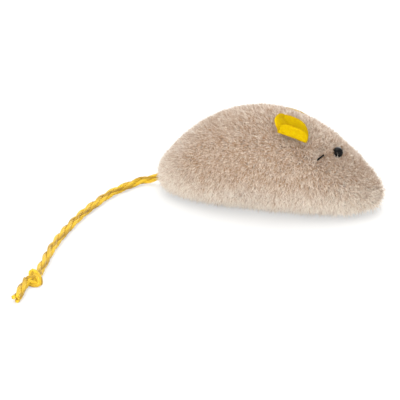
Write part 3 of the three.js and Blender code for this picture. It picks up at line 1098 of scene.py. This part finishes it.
@dataclass(frozen=True)
class Coat:
    """How the pile changes over the body.

    A zone starts at its first value and is full at its second, as shares of the body's height for the low
    zone and of its length for the others. The ends' zone counts from the body's middle. The other values say
    how far fibres lie over, and what each zone adds to their tone, their length or their guard hairs.
    Part of the tone is painted light: bounce light in the low zone, sheen on the rump, shade where the skin
    faces up and a rim light along the crest.
    """

    low: tuple[float, float] = (0.42, 0.0)
    ends: tuple[float, float] = (0.7, 1.0)
    head: tuple[float, float] = (0.6, 0.9)
    rump: tuple[float, float] = (0.2, 0.0)
    nose: tuple[float, float] = (0.88, 1.0)
    # The crest zone is where a painted rim light lightens the pile
    crest: tuple[float, float] = (0.92, 0.77)
    crest_width: float = 7 * MM
    lay: float = 0.62
    lay_nose: tuple[float, float] = (1.02, 0.82)
    lay_nose_least: float = 0.35
    lay_rump: tuple[float, float] = (0.0, 0.12)
    lay_rump_least: float = 0.6
    lay_belly: float = 1.3
    downward: float = 1.25
    downward_fall: float = 1.1
    downward_range: tuple[float, float] = (0.2, 0.9)
    tone: float = 0.33
    # Painted bounce light: the pile is made lighter low on the body, towards the floor
    tone_low_painted_bounce_light: float = 1.2
    # Painted sheen: the pile is made lighter on the rump, where the body turns away
    tone_rump_painted_sheen: float = 0.5
    tone_head: float = 0.05
    tone_nose: float = -0.2
    # Painted shade: the pile is made darker where the skin faces up
    tone_over_painted_shade: float = -0.1
    # Painted rim light: the pile is made lighter along the ridge of the back and head
    tone_crest_painted_rim_light: float = 0.2
    tone_head_crest_painted_rim_light: float = 0.35
    loft_ends: float = -0.12
    loft_head: float = -0.17
    loft_nose: float = -0.22
    loft_low: float = 0.3
    loft_low_head: float = 0.15
    fringe_head: float = 0.9
    fringe_nose: float = 1.2
    fringe_low: float = 0.5

    def comb(self, along: np.ndarray, height: np.ndarray, normals: np.ndarray, belly: bool) -> np.ndarray:
        """Find which way the fibres lie, and how far.

        Args:
            along: Shares of the body's length.
            height: Shares of its height.
            normals: Outward directions.
            belly: Whether the fibres stand on the belly, where all of them lie to the tail.

        Returns:
            A vector for each place.
        """
        tailward = np.array([-1.0, 0, 0]) - normals * -normals[:, :1]
        if belly:
            return tailward * self.lay_belly
        downward = np.array([0, 0, -1.0]) + normals * normals[:, 2:]
        flank = np.clip(self.downward - self.downward_fall * height, *self.downward_range)[:, None]
        at_nose = np.maximum(ramp(along, *self.lay_nose), self.lay_nose_least)
        at_rump = np.maximum(ramp(along, *self.lay_rump), self.lay_rump_least)
        return ((1 - flank) * tailward + flank * downward) * (self.lay * at_nose * at_rump)[:, None]

    def levels(
        self, along: np.ndarray, height: np.ndarray, aside: np.ndarray, upward: np.ndarray,
    ) -> dict[str, np.ndarray]:
        """Set the fibres' tone, length and guard hairs.

        Args:
            along: Shares of the body's length.
            height: Shares of its height.
            aside: Distances from its middle plane.
            upward: How far the skin faces up, from -1 to 1.

        Returns:
            Attribute name to a value for each place.
        """
        low = ramp(height, *self.low)
        ends = ramp(np.abs(2 * along - 1), *self.ends)
        head = ramp(along, *self.head)
        rump = ramp(along, *self.rump)
        nose = ramp(along, *self.nose)
        over = np.clip(upward, 0, 1) * (1 - rump)
        crest = np.exp(-(aside / self.crest_width) ** 2) * over * ramp(along, *self.crest)
        return {
            # The tone adds painted light: bounce light low down, sheen on the rump, shade where the skin
            # faces up, rim light on the crest
            "tone": (
                self.tone + self.tone_low_painted_bounce_light * low + self.tone_rump_painted_sheen * rump * (1 - low)
                + self.tone_head * head + self.tone_nose * nose + self.tone_over_painted_shade * over
                + (self.tone_crest_painted_rim_light + self.tone_head_crest_painted_rim_light * head) * crest
            ),
            "loft": (
                1 + self.loft_ends * ends + self.loft_head * head * (1 - low) + self.loft_nose * nose
                + (self.loft_low + self.loft_low_head * head) * low
            ),
            "fringe": (
                1 + self.fringe_head * head + self.fringe_nose * nose + self.fringe_low * low
            ),
        }


@dataclass
class Plush:
    """The plush skin: padded backing panels and the pile that stands on them."""

    filling: Filling
    coat: Coat = Coat()
    root: float = 3.6 * MM
    backing: float = 0.9 * MM
    backing_rows: int = 48
    backing_columns: int = 26
    ground_rows: int = 40
    ground_columns: int = 40
    per_square_mm: float = 10.5
    belly_per_square_mm: float = 4.5
    eye_clearing: tuple[float, float] = (3.2 * MM, 2.7 * MM)
    eye_trim: tuple[float, float] = (0.45, 0.9)
    eye_parting: float = 1.1 * MM
    ear_press: float = 0.72
    ear_press_edge: tuple[float, float] = (0.75, 1.1)
    ear_press_reach: float = 1.05
    ear_press_back: float = 1.5 * MM
    ear_press_up: float = 3.5 * MM
    thread_press: float = 0.6
    thread_press_edge: tuple[float, float] = (1 * MM, 3 * MM)
    zones: tuple[tuple[float, float], ...] = ((0.0, 0.33), (0.33, 0.62), (0.62, 1.0))
    first_seed: int = 11
    zone_seed: int = 7
    panel_seed: int = 31
    ears: Sequence[Ear] = ()
    thread_end: tuple[Vector, Vector] | None = None
    pieces: list[bpy.types.Object] = field(default_factory=list)

    def grid(self, panel: Panel, shares: np.ndarray, inset: float, columns: int) -> np.ndarray:
        """Place a panel's grid.

        Args:
            panel: The panel.
            shares: Shares of the length, one for each row.
            inset: How far inside the pile's tips.
            columns: Points across.

        Returns:
            Rows by columns by 3, turned so that the faces look outwards.
        """
        drop = FORM.seam_drop(shares, inset)[:, None]
        across = np.linspace(0, 1, columns)[None, :]
        if panel is Panel.RIGHT:
            angle = math.pi / 2 + across * (math.pi / 2 + drop)
        elif panel is Panel.LEFT:
            angle = -drop + across * (math.pi / 2 + drop)
        else:
            angle = math.pi + drop + across * (math.pi - 2 * drop)
        return self.filling.push(FORM.point(shares[:, None], angle, inset))

    def shares(self, panel: Panel, low: float, high: float, rows: int) -> np.ndarray:
        """Space a panel's rows, closer at the tips.

        Args:
            panel: The panel.
            low: First share of the length.
            high: Last share of the length.
            rows: The number of rows.

        Returns:
            Shares of the length.
        """
        if panel is Panel.BELLY:
            ends = [FORM.seam_end(self.root, power) for power in FORM.belly_power]
            low, high = max(low, ends[0]), min(high, 1 - ends[1])
        spread = np.arccos(1 - 2 * np.array([low, high]))
        return (1 - np.cos(np.linspace(*spread, rows))) / 2

    def make_backing(self, panel: Panel) -> bpy.types.Object:
        """Make a panel's backing as a closed padded sheet.

        Args:
            panel: The panel.

        Returns:
            The piece.
        """
        shares = self.shares(panel, 0, 1, self.backing_rows)
        outside = self.grid(panel, shares, self.root, self.backing_columns)
        inside = self.grid(panel, shares, self.root + self.backing, self.backing_columns)[:, ::-1]
        mesh = grid_mesh(f"{panel.value}_backing", np.concatenate([outside, inside], axis=1), True)
        mesh.materials.append(BACKING.build())
        piece = new_object(mesh.name, mesh)
        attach(piece, "body")
        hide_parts(f"{panel.value}_panel")
        return piece

    def ground(self, panel: Panel, low: float, high: float) -> bpy.types.Object:
        """Make the ground of a stretch of pile, with the way that its fibres lie.

        Args:
            panel: The panel.
            low: First share of the length.
            high: Last share of the length.

        Returns:
            The ground, with comb, tone, loft and fringe attributes.
        """
        shares = self.shares(panel, low, high, self.ground_rows)
        mesh = grid_mesh("pile_ground", self.grid(panel, shares, self.root, self.ground_columns))
        where = np.array([v.co for v in mesh.vertices])
        normals = np.array([v.normal for v in mesh.vertices])
        along = np.clip(where[:, 0] / (FORM.length - 2 * self.root) + 0.5, 0, 1)
        height = np.clip(where[:, 2] / FORM.height, 0, 1)
        levels = self.coat.levels(along, height, where[:, 1], normals[:, 2])
        levels["loft"] = levels["loft"] * self.pressed(where)
        store_values(mesh, "comb", self.coat.comb(along, height, normals, panel is Panel.BELLY))
        for name, values in levels.items():
            store_values(mesh, name, values)
        return new_object("pile_ground", mesh)

    def pressed(self, where: np.ndarray) -> np.ndarray:
        """Press the pile down where an ear or the thread's end lies on it.

        Args:
            where: Places on the ground.

        Returns:
            A share of the fibre's length for each place.
        """
        loft = np.ones(len(where))
        for ear in self.ears:
            seat = np.array(FORM.seat(ear.station, ear.turn, ear.side).inverted())
            local = where @ seat[:3, :3].T + seat[:3, 3]
            middle = np.array([-ear.side.value * self.ear_press_back, self.ear_press_up])
            reach = self.ear_press_reach * ear.radius
            apart = np.linalg.norm((local[:, :2] - middle) / reach, axis=1)
            rise = ramp(apart, *self.ear_press_edge)
            loft = np.minimum(loft, self.ear_press + (1 - self.ear_press) * rise)
        if self.thread_end:
            start, end = (np.array(place) for place in self.thread_end)
            way = end - start
            share = np.clip((where - start) @ way / (way @ way), 0, 1)
            apart = np.linalg.norm(where - start - share[:, None] * way, axis=1)
            rise = ramp(apart, *self.thread_press_edge)
            loft = np.minimum(loft, self.thread_press + (1 - self.thread_press) * rise)
        return loft

    def parting(self, side: Side) -> Vector:
        """Shift the eye's clearing forwards and up, so that the pile below laps the bead."""
        seat = FORM.seat(Eyes.station, Eyes.turns[0], side).to_3x3()
        return seat @ Vector((side.value, 1, 0)) * self.eye_parting

    def make_pile(
        self, tree: bpy.types.NodeTree, fibre: bpy.types.Object, eyes: dict[Side, Vector],
    ) -> None:
        """Plant the pile on each panel in stretches.

        Args:
            tree: The tree that plants fibres.
            fibre: The fibre.
            eyes: Side to the place of its bead.
        """
        material = PILE.build()
        for panel_number, panel in enumerate(Panel):
            belly = panel is Panel.BELLY
            side = Side.LEFT if panel is Panel.LEFT else Side.RIGHT
            eye = list(Side).index(side)
            density = self.belly_per_square_mm if belly else self.per_square_mm
            clearing = Clearing(
                tuple(eyes[side] + self.parting(side)), self.eye_clearing[eye], self.eye_trim[eye],
            )
            for number, (low, high) in enumerate(((0.0, 1.0),) if belly else self.zones):
                seed = self.first_seed + self.zone_seed * number + self.panel_seed * panel_number
                name = f"{panel.value}_pile_{number + 1}"
                ground = self.ground(panel, low, high)
                piece = plant(tree, ground, name, PLUSH_NAP, fibre, material, density, seed, clearing)
                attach(piece, "body")
                self.pieces.append(piece)


@dataclass
class Ear:
    """A rounded square of felt folded across and sewn on along the fold."""

    side: Side
    station: float
    turn: float
    back_lean: float
    radius: float = 8.25 * MM
    squareness: float = 3.0
    skew: float = 0.3
    fold_offset: float = 2.8 * MM
    fold_radius: float = 1.6 * MM
    opening: float = 44.0
    droop: float = 0.15 * MM
    gather: float = 0.2
    gather_reach: float = 5 * MM
    gather_front: float = 0.3
    gather_rump: float = 1.3
    bulge: float = 1.9 * MM
    bulge_middle: float = -0.3
    bulge_width: float = 0.42
    bulge_return: float = 1.5
    bulge_end: float = 0.9
    lift: float = 0.9
    crease: float = 0.5
    crown: float = 0.7 * MM
    edge_wobble: float = 0.02
    edge_waves: float = 2.0
    lump: float = 0.15 * MM
    lump_size: float = 2.5 * MM
    lump_shift: float = 4 * MM
    felt: float = 1.2 * MM
    face_rings: int = 18
    rim_rings: int = 6
    spokes: int = 72
    fuzz_per_square_mm: float = 8.0
    fuzz_tone: float = 0.5
    fuzz_seed: int = 5
    fit_gap: float = 0.3 * MM
    tack_length: float = 11 * MM
    tack_step: float = 0.3 * MM
    thread_radius: float = 0.4 * MM

    @property
    def name(self) -> str:
        """The ear's node and body."""
        return f"{self.side.name.lower()}_ear"

    def frame(self) -> Matrix:
        """Place the ear.

        Returns:
            Its frame, with the fold's middle at the origin and the fold along x.
        """
        seat = FORM.seat(self.station, self.turn, self.side)
        lift = self.fold_radius + self.felt / 2 + self.fit_gap
        tilt = math.radians(self.back_lean + self.opening / 2 - 90)
        return seat @ Matrix.Translation((0, 0, lift)) @ Matrix.Rotation(tilt, 4, "X")

    def outline(self, angle: float) -> float:
        """Size the felt.

        Args:
            angle: The angle round it.

        Returns:
            Its half size at that angle.
        """
        power = self.squareness
        spread = abs(math.cos(angle)) ** power + abs(math.sin(angle)) ** power
        return self.radius * spread ** (-1 / power)

    def fold(self, along: float, walk: float, off: float) -> Vector:
        """Place a point of the folded felt.

        Args:
            along: Distance along the fold.
            walk: Distance across the felt from the fold's middle, to the front.
            off: Distance from the felt's mid-plane, to the inside.

        Returns:
            The point in the ear's own frame.
        """
        wall = math.radians(90 - self.opening / 2)
        turn = min(max(walk / self.fold_radius, -wall), wall)
        beyond = walk - turn * self.fold_radius
        arm = self.fold_radius - off
        across = walk / self.radius
        rump = max(-self.side.value * along / self.radius, 0)
        near_fold = max(1 - (walk / self.gather_reach) ** 2, 0) ** 2
        gather = self.gather * near_fold * (self.gather_front + self.gather_rump * rump)
        cup = math.exp(-((across - self.bulge_middle) / self.bulge_width) ** 2)
        cup -= self.bulge_return * max(-across - self.bulge_end, 0)
        shift = self.skew * min(beyond, 0) - self.bulge * cup * rump ** 2
        return Vector((
            along * (1 - gather) + self.side.value * shift,
            -arm * math.sin(turn) - beyond * math.cos(turn),
            beyond * math.sin(turn) - arm * math.cos(turn) - self.droop * (along / self.radius) ** 2,
        ))

    def place(self, share: float, angle: float, face: int) -> Vector:
        """Place a point of the felt on one face.

        Args:
            share: Share of the way from the felt's middle to its edge.
            angle: Angle round it.
            face: 1 inside the fold, -1 outside.

        Returns:
            The point in the ear's own frame.
        """
        wave = Vector((
            self.edge_waves * math.cos(angle), self.edge_waves * math.sin(angle), self.side.value,
        ))
        reach = self.outline(angle) * (1 + self.edge_wobble * noise.noise(wave))
        over = max((share - 1) * reach / (self.felt / 2) + 1, 0)
        half = self.felt / 2 * math.sqrt(max(1 - over * over, 0))
        along = reach * share * math.cos(angle)
        walk = reach * share * math.sin(angle) - self.fold_offset
        spot = Vector((along, walk, self.lump_shift * self.side.value)) / self.lump_size
        lump = self.lump * noise.noise(spot)
        rump = -self.side.value * along / self.radius
        behind = min(max(-walk / self.radius, 0), 1)
        raised = self.lift * self.radius * behind * max(rump - behind + self.crease, 0)
        crown = self.crown * min(max(walk / self.radius, 0), 1) * (1 - rump * rump)
        return self.fold(along, walk, face * half + lump + raised - crown)

    def make_felt(self) -> bpy.types.Object:
        """Make the folded felt with its rounded cut edge.

        Returns:
            The piece.
        """
        edge = 1 - self.felt / 2 / self.radius
        rim = [edge + (1 - edge) * math.sin(t) for t in np.linspace(0, math.pi / 2, self.rim_rings)]
        face = [edge * math.sqrt(k / self.face_rings) for k in range(self.face_rings)]
        radii = face + rim
        frame = self.frame()
        angles = np.linspace(0, TURN, self.spokes, endpoint=False)
        rows = [[frame @ self.place(r, a, 1) for a in angles] for r in radii]
        rows += [[frame @ self.place(r, a, -1) for a in angles] for r in radii[-2::-1]]
        mesh = grid_mesh(self.name + "_felt", np.array(rows), True)
        mesh.materials.append(FELT.build())
        return new_object(mesh.name, mesh)

    def make_fuzz(
        self, pile: bpy.types.NodeTree, fibre: bpy.types.Object, felt: bpy.types.Object,
    ) -> bpy.types.Object:
        """Plant the felt's loose fibres.

        Args:
            pile: The tree that plants fibres.
            fibre: The fibre.
            felt: The folded felt.

        Returns:
            The piece.
        """
        ground = new_object("felt_ground", felt.data.copy())
        count = len(ground.data.vertices)
        store_values(ground.data, "comb", np.zeros((count, 3)))
        for name, level in (("tone", self.fuzz_tone), ("loft", 1.0), ("fringe", 1.0)):
            store_values(ground.data, name, np.full(count, level))
        return plant(pile, ground, self.name + "_fuzz", FELT_NAP, fibre, FELT_FUZZ.build(),
                     self.fuzz_per_square_mm, self.fuzz_seed)

    def make_tack(self, cord: bpy.types.NodeTree) -> bpy.types.Object:
        """Lay the tacking thread in the fold.

        Args:
            cord: The tree that lays yarns.

        Returns:
            The piece.
        """
        frame = self.frame()
        height = self.felt / 2 + self.fit_gap + self.thread_radius - self.fold_radius
        stops = [-self.tack_length / 2, 0, self.tack_length / 2]
        points = [frame @ Vector((x, 0, height - self.droop * (x / self.radius) ** 2)) for x in stops]
        route = smooth_route(points, self.tack_step)
        return lay_cord(cord, self.name + "_tack_thread", route, TACK_THREAD, YELLOW_THREAD)

    def build(
        self, pile: bpy.types.NodeTree, cord: bpy.types.NodeTree, fibre: bpy.types.Object,
    ) -> list[bpy.types.Object]:
        """Make the ear, its fuzz and its tacking thread.

        Args:
            pile: The tree that plants fibres.
            cord: The tree that lays yarns.
            fibre: The fibre of the fuzz.

        Returns:
            The pieces.
        """
        felt = self.make_felt()
        fuzz = self.make_fuzz(pile, fibre, felt)
        tack = self.make_tack(cord)
        for piece, slot in ((felt, "felt"), (fuzz, "felt"), (tack, "ear_thread")):
            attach(piece, self.name)
        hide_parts(self.name)
        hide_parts(self.name + "_tack")
        f"{self.side.name.lower()}_side_backing"
        return [felt, fuzz, tack]


@dataclass
class Tail:
    """A twisted cord from the rump seam to its overhand knot and cut end."""

    radius: float = 2.1 * MM
    fit_gap: float = 0.3 * MM
    drop: float = 1.2 * MM
    floor_rest: float = 0.1 * MM
    step: float = 0.5 * MM
    sunk: float = 3 * MM
    bend_length: float = 9 * MM
    bend_point: int = 3
    route: tuple[tuple[float, float, float], ...] = (
        (0, 0, 1), (-3.4, -0.2, 0.4), (-6.8, -1.2, 0.1), (-9.3, -4.2, 0), (-11.4, -8.0, 0),
        (-14.0, -12.6, 0), (-16.4, -17.6, 0), (-18.2, -23.4, 0), (-19.5, -30.2, 0), (-20.8, -36.8, 0),
        (-21.8, -43.6, 0), (-22.4, -50.2, 0), (-22.7, -57.0, 0), (-22.8, -64.0, 0), (-22.7, -71.4, 0),
        (-22.2, -78.6, 0), (-21.3, -86.4, 0), (-19.9, -94.6, 0), (-18.3, -104.4, 0),
    )
    end_route: tuple[tuple[float, float, float], ...] = (
        (-20.3, -113.2, 0), (-19.7, -118.1, 0), (-18.9, -123.2, 0), (-18.1, -128.9, 0),
    )
    knot_shift: tuple[float, float, float] = (2.4 * MM, 2.8 * MM, 0.2 * MM)
    knot_long: float = 0.2 * MM
    knot_wide: float = 1.15 * MM
    knot_high: float = 0.68 * MM
    knot_tilt: float = 0.5
    knot_span: float = 1.85
    knot_points: int = 33
    splay: float = 0.25
    tuck: float = 6 * MM

    def exit(self) -> Vector:
        """Find where the cord leaves the seam at the rump."""
        share = FORM.seam_end(0.0, FORM.belly_power[0])
        return Vector(((share - 0.5) * FORM.length, 0, FORM.seam))

    def pivot(self) -> Vector:
        """Find the point that the tail turns about."""
        return self.exit() + Vector((-self.radius - self.fit_gap, 0, -self.drop))

    def points(self, route: Sequence[Sequence[float]]) -> list[Vector]:
        """Turn a route to points.

        Args:
            route: Offsets from the pivot along x and y in mm, and the share of its height that is left.

        Returns:
            The points.
        """
        pivot = self.pivot()
        rest = self.radius + self.floor_rest
        return [Vector((pivot.x + x * MM, pivot.y + y * MM, rest + rise * (pivot.z - rest)))
                for x, y, rise in route]

    def knot_frame(self, entry: Vector, leave: Vector) -> tuple[Vector, Vector, Vector]:
        """Place the knot.

        Args:
            entry: Where the cord goes in.
            leave: Where it comes out.

        Returns:
            Its middle, the way through it and the way across it.
        """
        forward = (leave - entry).normalized()
        across = Vector((-forward.y, forward.x, 0))
        ahead, aside, above = self.knot_shift
        centre = (entry + leave) / 2 + forward * ahead + across * aside + Vector((0, 0, above))
        return centre, forward, across

    def knot_route(self, entry: Vector, leave: Vector) -> list[Vector]:
        """Tie an overhand knot between two points of the cord, as the polynomial trefoil.

        Args:
            entry: Where the cord goes in.
            leave: Where it comes out.

        Returns:
            Points along the cord.
        """
        centre, forward, across = self.knot_frame(entry, leave)
        turns: list[Vector] = []
        for t in np.linspace(-self.knot_span, self.knot_span, self.knot_points):
            wide = self.knot_wide * (t ** 4 - 4 * t ** 2 + 2)
            rise = self.knot_high * (3 * t - t ** 3) - self.knot_tilt * wide
            turns.append(centre + forward * (self.knot_long * (t ** 5 - 10 * t)) + across * wide
                         + Vector((0, 0, rise)))
        return [entry, *turns, leave]

    def build(self, tree: bpy.types.NodeTree) -> list[bpy.types.Object]:
        """Make the cord, its knot and its cut end.

        Args:
            tree: The tree that lays yarns.

        Returns:
            The pieces.
        """
        leaving = self.exit()
        inside = leaving + Vector((self.sunk, 0, 0))
        main = self.points(self.route)
        tip = self.points(self.end_route)
        entry = main[-1]
        centre = self.knot_frame(entry, tip[0])[0]
        tucked = entry + (centre - entry).normalized() * self.tuck
        route = smooth_route([inside, leaving, *main, tucked], self.step)
        cord = lay_cord(tree, "tail_twisted_cord", route, TAIL_LAY, CORD)
        knot_line = smooth_route(self.knot_route(entry, tip[0]), self.step)
        knot = lay_cord(tree, "tail_overhand_knot", knot_line, KNOT_LAY, CORD)
        end_line = smooth_route(tip, self.step)
        end = lay_cord(tree, "tail_cut_end", end_line, TAIL_LAY, CORD, route_length(route), self.splay)
        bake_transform(cord)
        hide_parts("tail_root", "tail_cord")
        for piece, node in ((knot, "tail_knot"), (end, "tail_end")):
            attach(piece, "tail")
            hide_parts(node)
        return [cord, knot, end]


@dataclass
class Eyes:
    """Bead eyes sunk in the plush, and the cut end of their thread."""

    station: float = 0.811
    turns: tuple[float, float] = (19.4, 49.0)
    radius: float = 2.6 * MM
    sinks: tuple[float, float] = (0.8 * MM, 1.9 * MM)
    hole: float = 0.45 * MM
    hole_depth: float = 1.3 * MM
    bead_rows: int = 30
    bead_columns: int = 48
    end_station: float = 0.744
    end_turn: float = 47.0
    end_length: float = 3.6 * MM
    end_twist: float = 14.0
    end_rise: float = 0.7 * MM
    end_sunk: float = 3 * MM
    end_step: float = 0.25 * MM

    def centres(self) -> dict[Side, Vector]:
        """Place the beads.

        Returns:
            Side to the centre of its bead.
        """
        found: dict[Side, Vector] = {}
        for side, turn, sink in zip(Side, self.turns, self.sinks):
            found[side] = FORM.seat(self.station, turn, side) @ Vector((0, 0, -sink))
        return found

    def end_seat(self) -> tuple[Vector, Vector, Vector]:
        """Place the thread's end.

        Returns:
            Where it comes out, the way out and the way that it lies.
        """
        seat = FORM.seat(self.end_station, self.end_turn, Side.RIGHT)
        out = seat.to_3x3() @ Vector((0, 0, 1))
        way = self.centres()[Side.RIGHT] - seat.translation
        flat = (way - out * way.dot(out)).normalized()
        return seat.translation, out, Matrix.Rotation(math.radians(self.end_twist), 3, out) @ flat

    def end_ground(self, depth: float) -> tuple[Vector, Vector]:
        """Find the line under the thread's end at a depth in the plush."""
        spot, out, way = self.end_seat()
        return spot - out * depth, spot - out * depth + way * self.end_length

    def make_bead(
        self, side: Side, centre: Vector, toward: Vector, finish: bpy.types.Material,
    ) -> bpy.types.Object:
        """Make a bead with its thread hole pointing at the other one.

        Args:
            side: The side of the mouse.
            centre: The bead's centre.
            toward: The other bead's centre.
            finish: The bead's material.

        Returns:
            The piece.
        """
        start = math.asin(self.hole / self.radius)
        tilts = np.linspace(start, math.pi - start, self.bead_rows)
        profile = [(self.radius * math.sin(t), self.radius * math.cos(t)) for t in tilts]
        profile += [(self.hole, -self.hole_depth), (self.hole, self.hole_depth), profile[0]]
        spins = np.linspace(0, TURN, self.bead_columns, endpoint=False)
        turn = (toward - centre).to_track_quat("Z", "Y")
        rows = np.array([[centre + turn @ Vector((r * math.cos(s), r * math.sin(s), z)) for s in spins]
                         for r, z in profile])
        mesh = grid_mesh(f"{side.name.lower()}_eye", rows, True, flip=True)
        mesh.materials.append(finish)
        piece = new_object(mesh.name, mesh)
        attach(piece, "body")
        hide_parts(f"{side.name.lower()}_eye_bead")
        return piece

    def build(self, cord: bpy.types.NodeTree) -> list[bpy.types.Object]:
        """Make both beads and the thread's end.

        Args:
            cord: The tree that lays yarns.

        Returns:
            The pieces.
        """
        centres = self.centres()
        finish = BEAD.build()
        beads = [self.make_bead(side, centres[side], centres[other], finish)
                 for side, other in ((Side.RIGHT, Side.LEFT), (Side.LEFT, Side.RIGHT))]
        spot, out, way = self.end_seat()
        bend = spot + out * self.end_rise
        tip = bend + way * self.end_length - out * (self.end_rise / 2)
        route = smooth_route([spot - out * self.end_sunk, spot, bend, tip], self.end_step)
        end = lay_cord(cord, "eye_thread_cut_end", route, EYE_THREAD, BLACK_THREAD)
        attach(end, "body")
        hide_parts("eye_thread_end")
        return [*beads, end]


@dataclass(frozen=True)
class Lamp:
    """A soft square lamp: where it stands, its side and its power in watts."""

    name: str
    place: tuple[float, float, float]
    size: float
    power: float


@dataclass(frozen=True)
class Studio:
    """The camera at the photograph's angle, soft light and a white floor."""

    azimuth: float = 15.0
    elevation: float = 24.0
    distance: float = 650 * MM
    target: tuple[float, float, float] = (0.0, 0.0, 20 * MM)
    focal_px: float = 1324.6
    centre_px: tuple[float, float] = (269.17, 161.3)
    image_px: int = 400
    sensor: float = 36.0
    nearest: float = 10 * MM
    white: str = "#FFFFFF"
    paper: str = "#F4F4F2"
    paper_glow: float = 0.5
    sky_light: float = 0.75
    floor_half: float = 2.0
    lamps: tuple[Lamp, ...] = (
        Lamp("top_softbox", (-0.1, 0.1, 0.9), 0.9, 6.0),
        Lamp("key_softbox", (-0.45, -0.8, 0.27), 0.36, 0.9),
        Lamp("low_softbox", (0.0, -0.6, 0.02), 0.5, 4.0),
        Lamp("nose_softbox", (0.65, -0.6, 0.14), 0.5, 1.1),
        Lamp("rim_softbox", (0.0, 0.75, 0.3), 0.6, 4.2),
    )

    def make_camera(self) -> None:
        """Set the camera so that the photograph's middle is its axis."""
        a, e = math.radians(self.azimuth), math.radians(self.elevation)
        right = Vector((math.cos(a), math.sin(a), 0))
        back = Vector((math.sin(a) * math.cos(e), -math.cos(a) * math.cos(e), math.sin(e)))
        up = back.cross(right)
        half = self.image_px / 2
        ahead = (right * ((half - self.centre_px[0]) / self.focal_px)
                 - up * ((half - self.centre_px[1]) / self.focal_px) - back).normalized()
        level = (right - ahead * right.dot(ahead)).normalized()
        data = bpy.data.cameras.new("camera")
        data.sensor_width = self.sensor
        data.lens = self.focal_px * self.sensor / self.image_px
        data.clip_start = self.nearest
        camera = bpy.data.objects.new("camera", data)
        turn = Matrix((level, (-ahead).cross(level), -ahead)).transposed().to_4x4()
        turn.translation = Vector(self.target) + back * self.distance
        camera.matrix_world = turn
        bpy.context.scene.collection.objects.link(camera)
        bpy.context.scene.camera = camera

    def make_lamp(self, lamp: Lamp) -> None:
        """Add a lamp that looks at the mouse.

        Args:
            lamp: The lamp.
        """
        data = bpy.data.lights.new(lamp.name, "AREA")
        data.size = lamp.size
        data.energy = lamp.power
        light = bpy.data.objects.new(lamp.name, data)
        light.location = lamp.place
        way = Vector(self.target) - Vector(lamp.place)
        light.rotation_euler = way.to_track_quat("-Z", "Y").to_euler()
        bpy.context.scene.collection.objects.link(light)

    def seen_directly(self, tree: bpy.types.NodeTree) -> bpy.types.NodeSocket:
        """Tell camera, glossy and transmitted rays from the rays that light the object.

        Args:
            tree: The tree that takes the nodes.

        Returns:
            1 for a ray of the first kinds, and 0 for the others.
        """
        seen = add_node(tree, "ShaderNodeLightPath", out="Is Camera Ray")
        paths = seen.node.outputs
        for kind in ("Is Glossy Ray", "Is Transmission Ray"):
            seen = add_node(tree, MATH, {0: seen, 1: paths[kind]}, operation="MAXIMUM")
        return seen

    def make_world(self) -> None:
        """Make the sky, white to the camera."""
        world = bpy.data.worlds.new("studio")
        world.use_nodes = True
        bpy.context.scene.world = world
        tree = world.node_tree
        tree.nodes.clear()
        add = partial(add_node, tree)
        strength = add(MIX, {
            "Factor": self.seen_directly(tree), "A": self.sky_light, "B": 1.0,
        }, data_type="FLOAT")
        sky = add("ShaderNodeBackground", {"Color": linear(self.white), "Strength": strength})
        add("ShaderNodeOutputWorld", {"Surface": sky})

    def make_floor(self) -> None:
        """Make the paper floor, white to the camera except in the object's shadow."""
        half = self.floor_half
        corners = [[(-half, -half, 0), (half, -half, 0)], [(-half, half, 0), (half, half, 0)]]
        mesh = grid_mesh("floor", np.array(corners, float))
        material = bpy.data.materials.new("white_paper")
        material.use_nodes = True
        tree = material.node_tree
        tree.nodes.clear()
        add = partial(add_node, tree)
        paper = add("ShaderNodeBsdfDiffuse", {"Color": linear(self.paper)})
        glow = add("ShaderNodeEmission", {"Color": linear(self.white), "Strength": 1.0})
        share = add(MATH, {0: self.seen_directly(tree), 1: self.paper_glow}, operation="MULTIPLY")
        both = add("ShaderNodeMixShader", {0: share, 1: paper, 2: glow})
        add("ShaderNodeOutputMaterial", {"Surface": both})
        mesh.materials.append(material)
        new_object("floor", mesh)

    def make_surroundings(self) -> None:
        """Make the sky, the floor and the lamps."""
        bpy.context.scene.view_settings.view_transform = "Standard"
        self.make_world()
        self.make_floor()
        for lamp in self.lamps:
            self.make_lamp(lamp)


def dress_inner(nodes: dict[str, bpy.types.Object]) -> None:
    """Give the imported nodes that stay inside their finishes.

    Args:
        nodes: Node name to its object.
    """
    made = {finish: finish.build() for finish in dict.fromkeys(INNER_FINISHES.values())}
    for name, finish in INNER_FINISHES.items():
        for slot in nodes[name].material_slots:
            slot.material = made[finish]
        LOG.info("%s dressed as %s", name, finish.name)


def main() -> None:
    """Build the scene."""
    logging.basicConfig(level=logging.INFO, format="%(name)s: %(message)s")
    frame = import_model()
    studio = Studio()
    studio.make_camera()
    cord = cord_tree()
    tail = Tail()
    pieces = tail.build(cord)
    eyes = Eyes()
    pieces += eyes.build(cord)
    pile = pile_tree()
    pile_fibre = make_fibre("pile_fibre", bend=11.0)
    felt_fibre = make_fibre("felt_fibre", bend=4.0)
    ears = (
        Ear(Side.RIGHT, station=0.627, turn=31.8, back_lean=2.0),
        Ear(Side.LEFT, station=0.575, turn=64.0, back_lean=0.0, lift=0.3),
    )
    centres = eyes.centres()
    filling = Filling(Plush.root)
    filling.simulate([*centres.values(), *(ear.frame().translation for ear in ears), tail.exit()])
    plush = Plush(filling, ears=ears, thread_end=eyes.end_ground(Plush.root))
    pieces += [plush.make_backing(panel) for panel in Panel]
    plush.make_pile(pile, pile_fibre, centres)
    pieces += plush.pieces
    for ear in ears:
        pieces += ear.build(pile, cord, felt_fibre)
    for helper in (pile_fibre, felt_fibre):
        bpy.data.objects.remove(helper)
    dress_inner(frame["nodes"])
    studio.make_surroundings()
    for piece in pieces:
        LOG.info("%s: %d faces", piece.name, len(piece.data.polygons))
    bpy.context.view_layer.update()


if __name__ == "__main__":
    main()
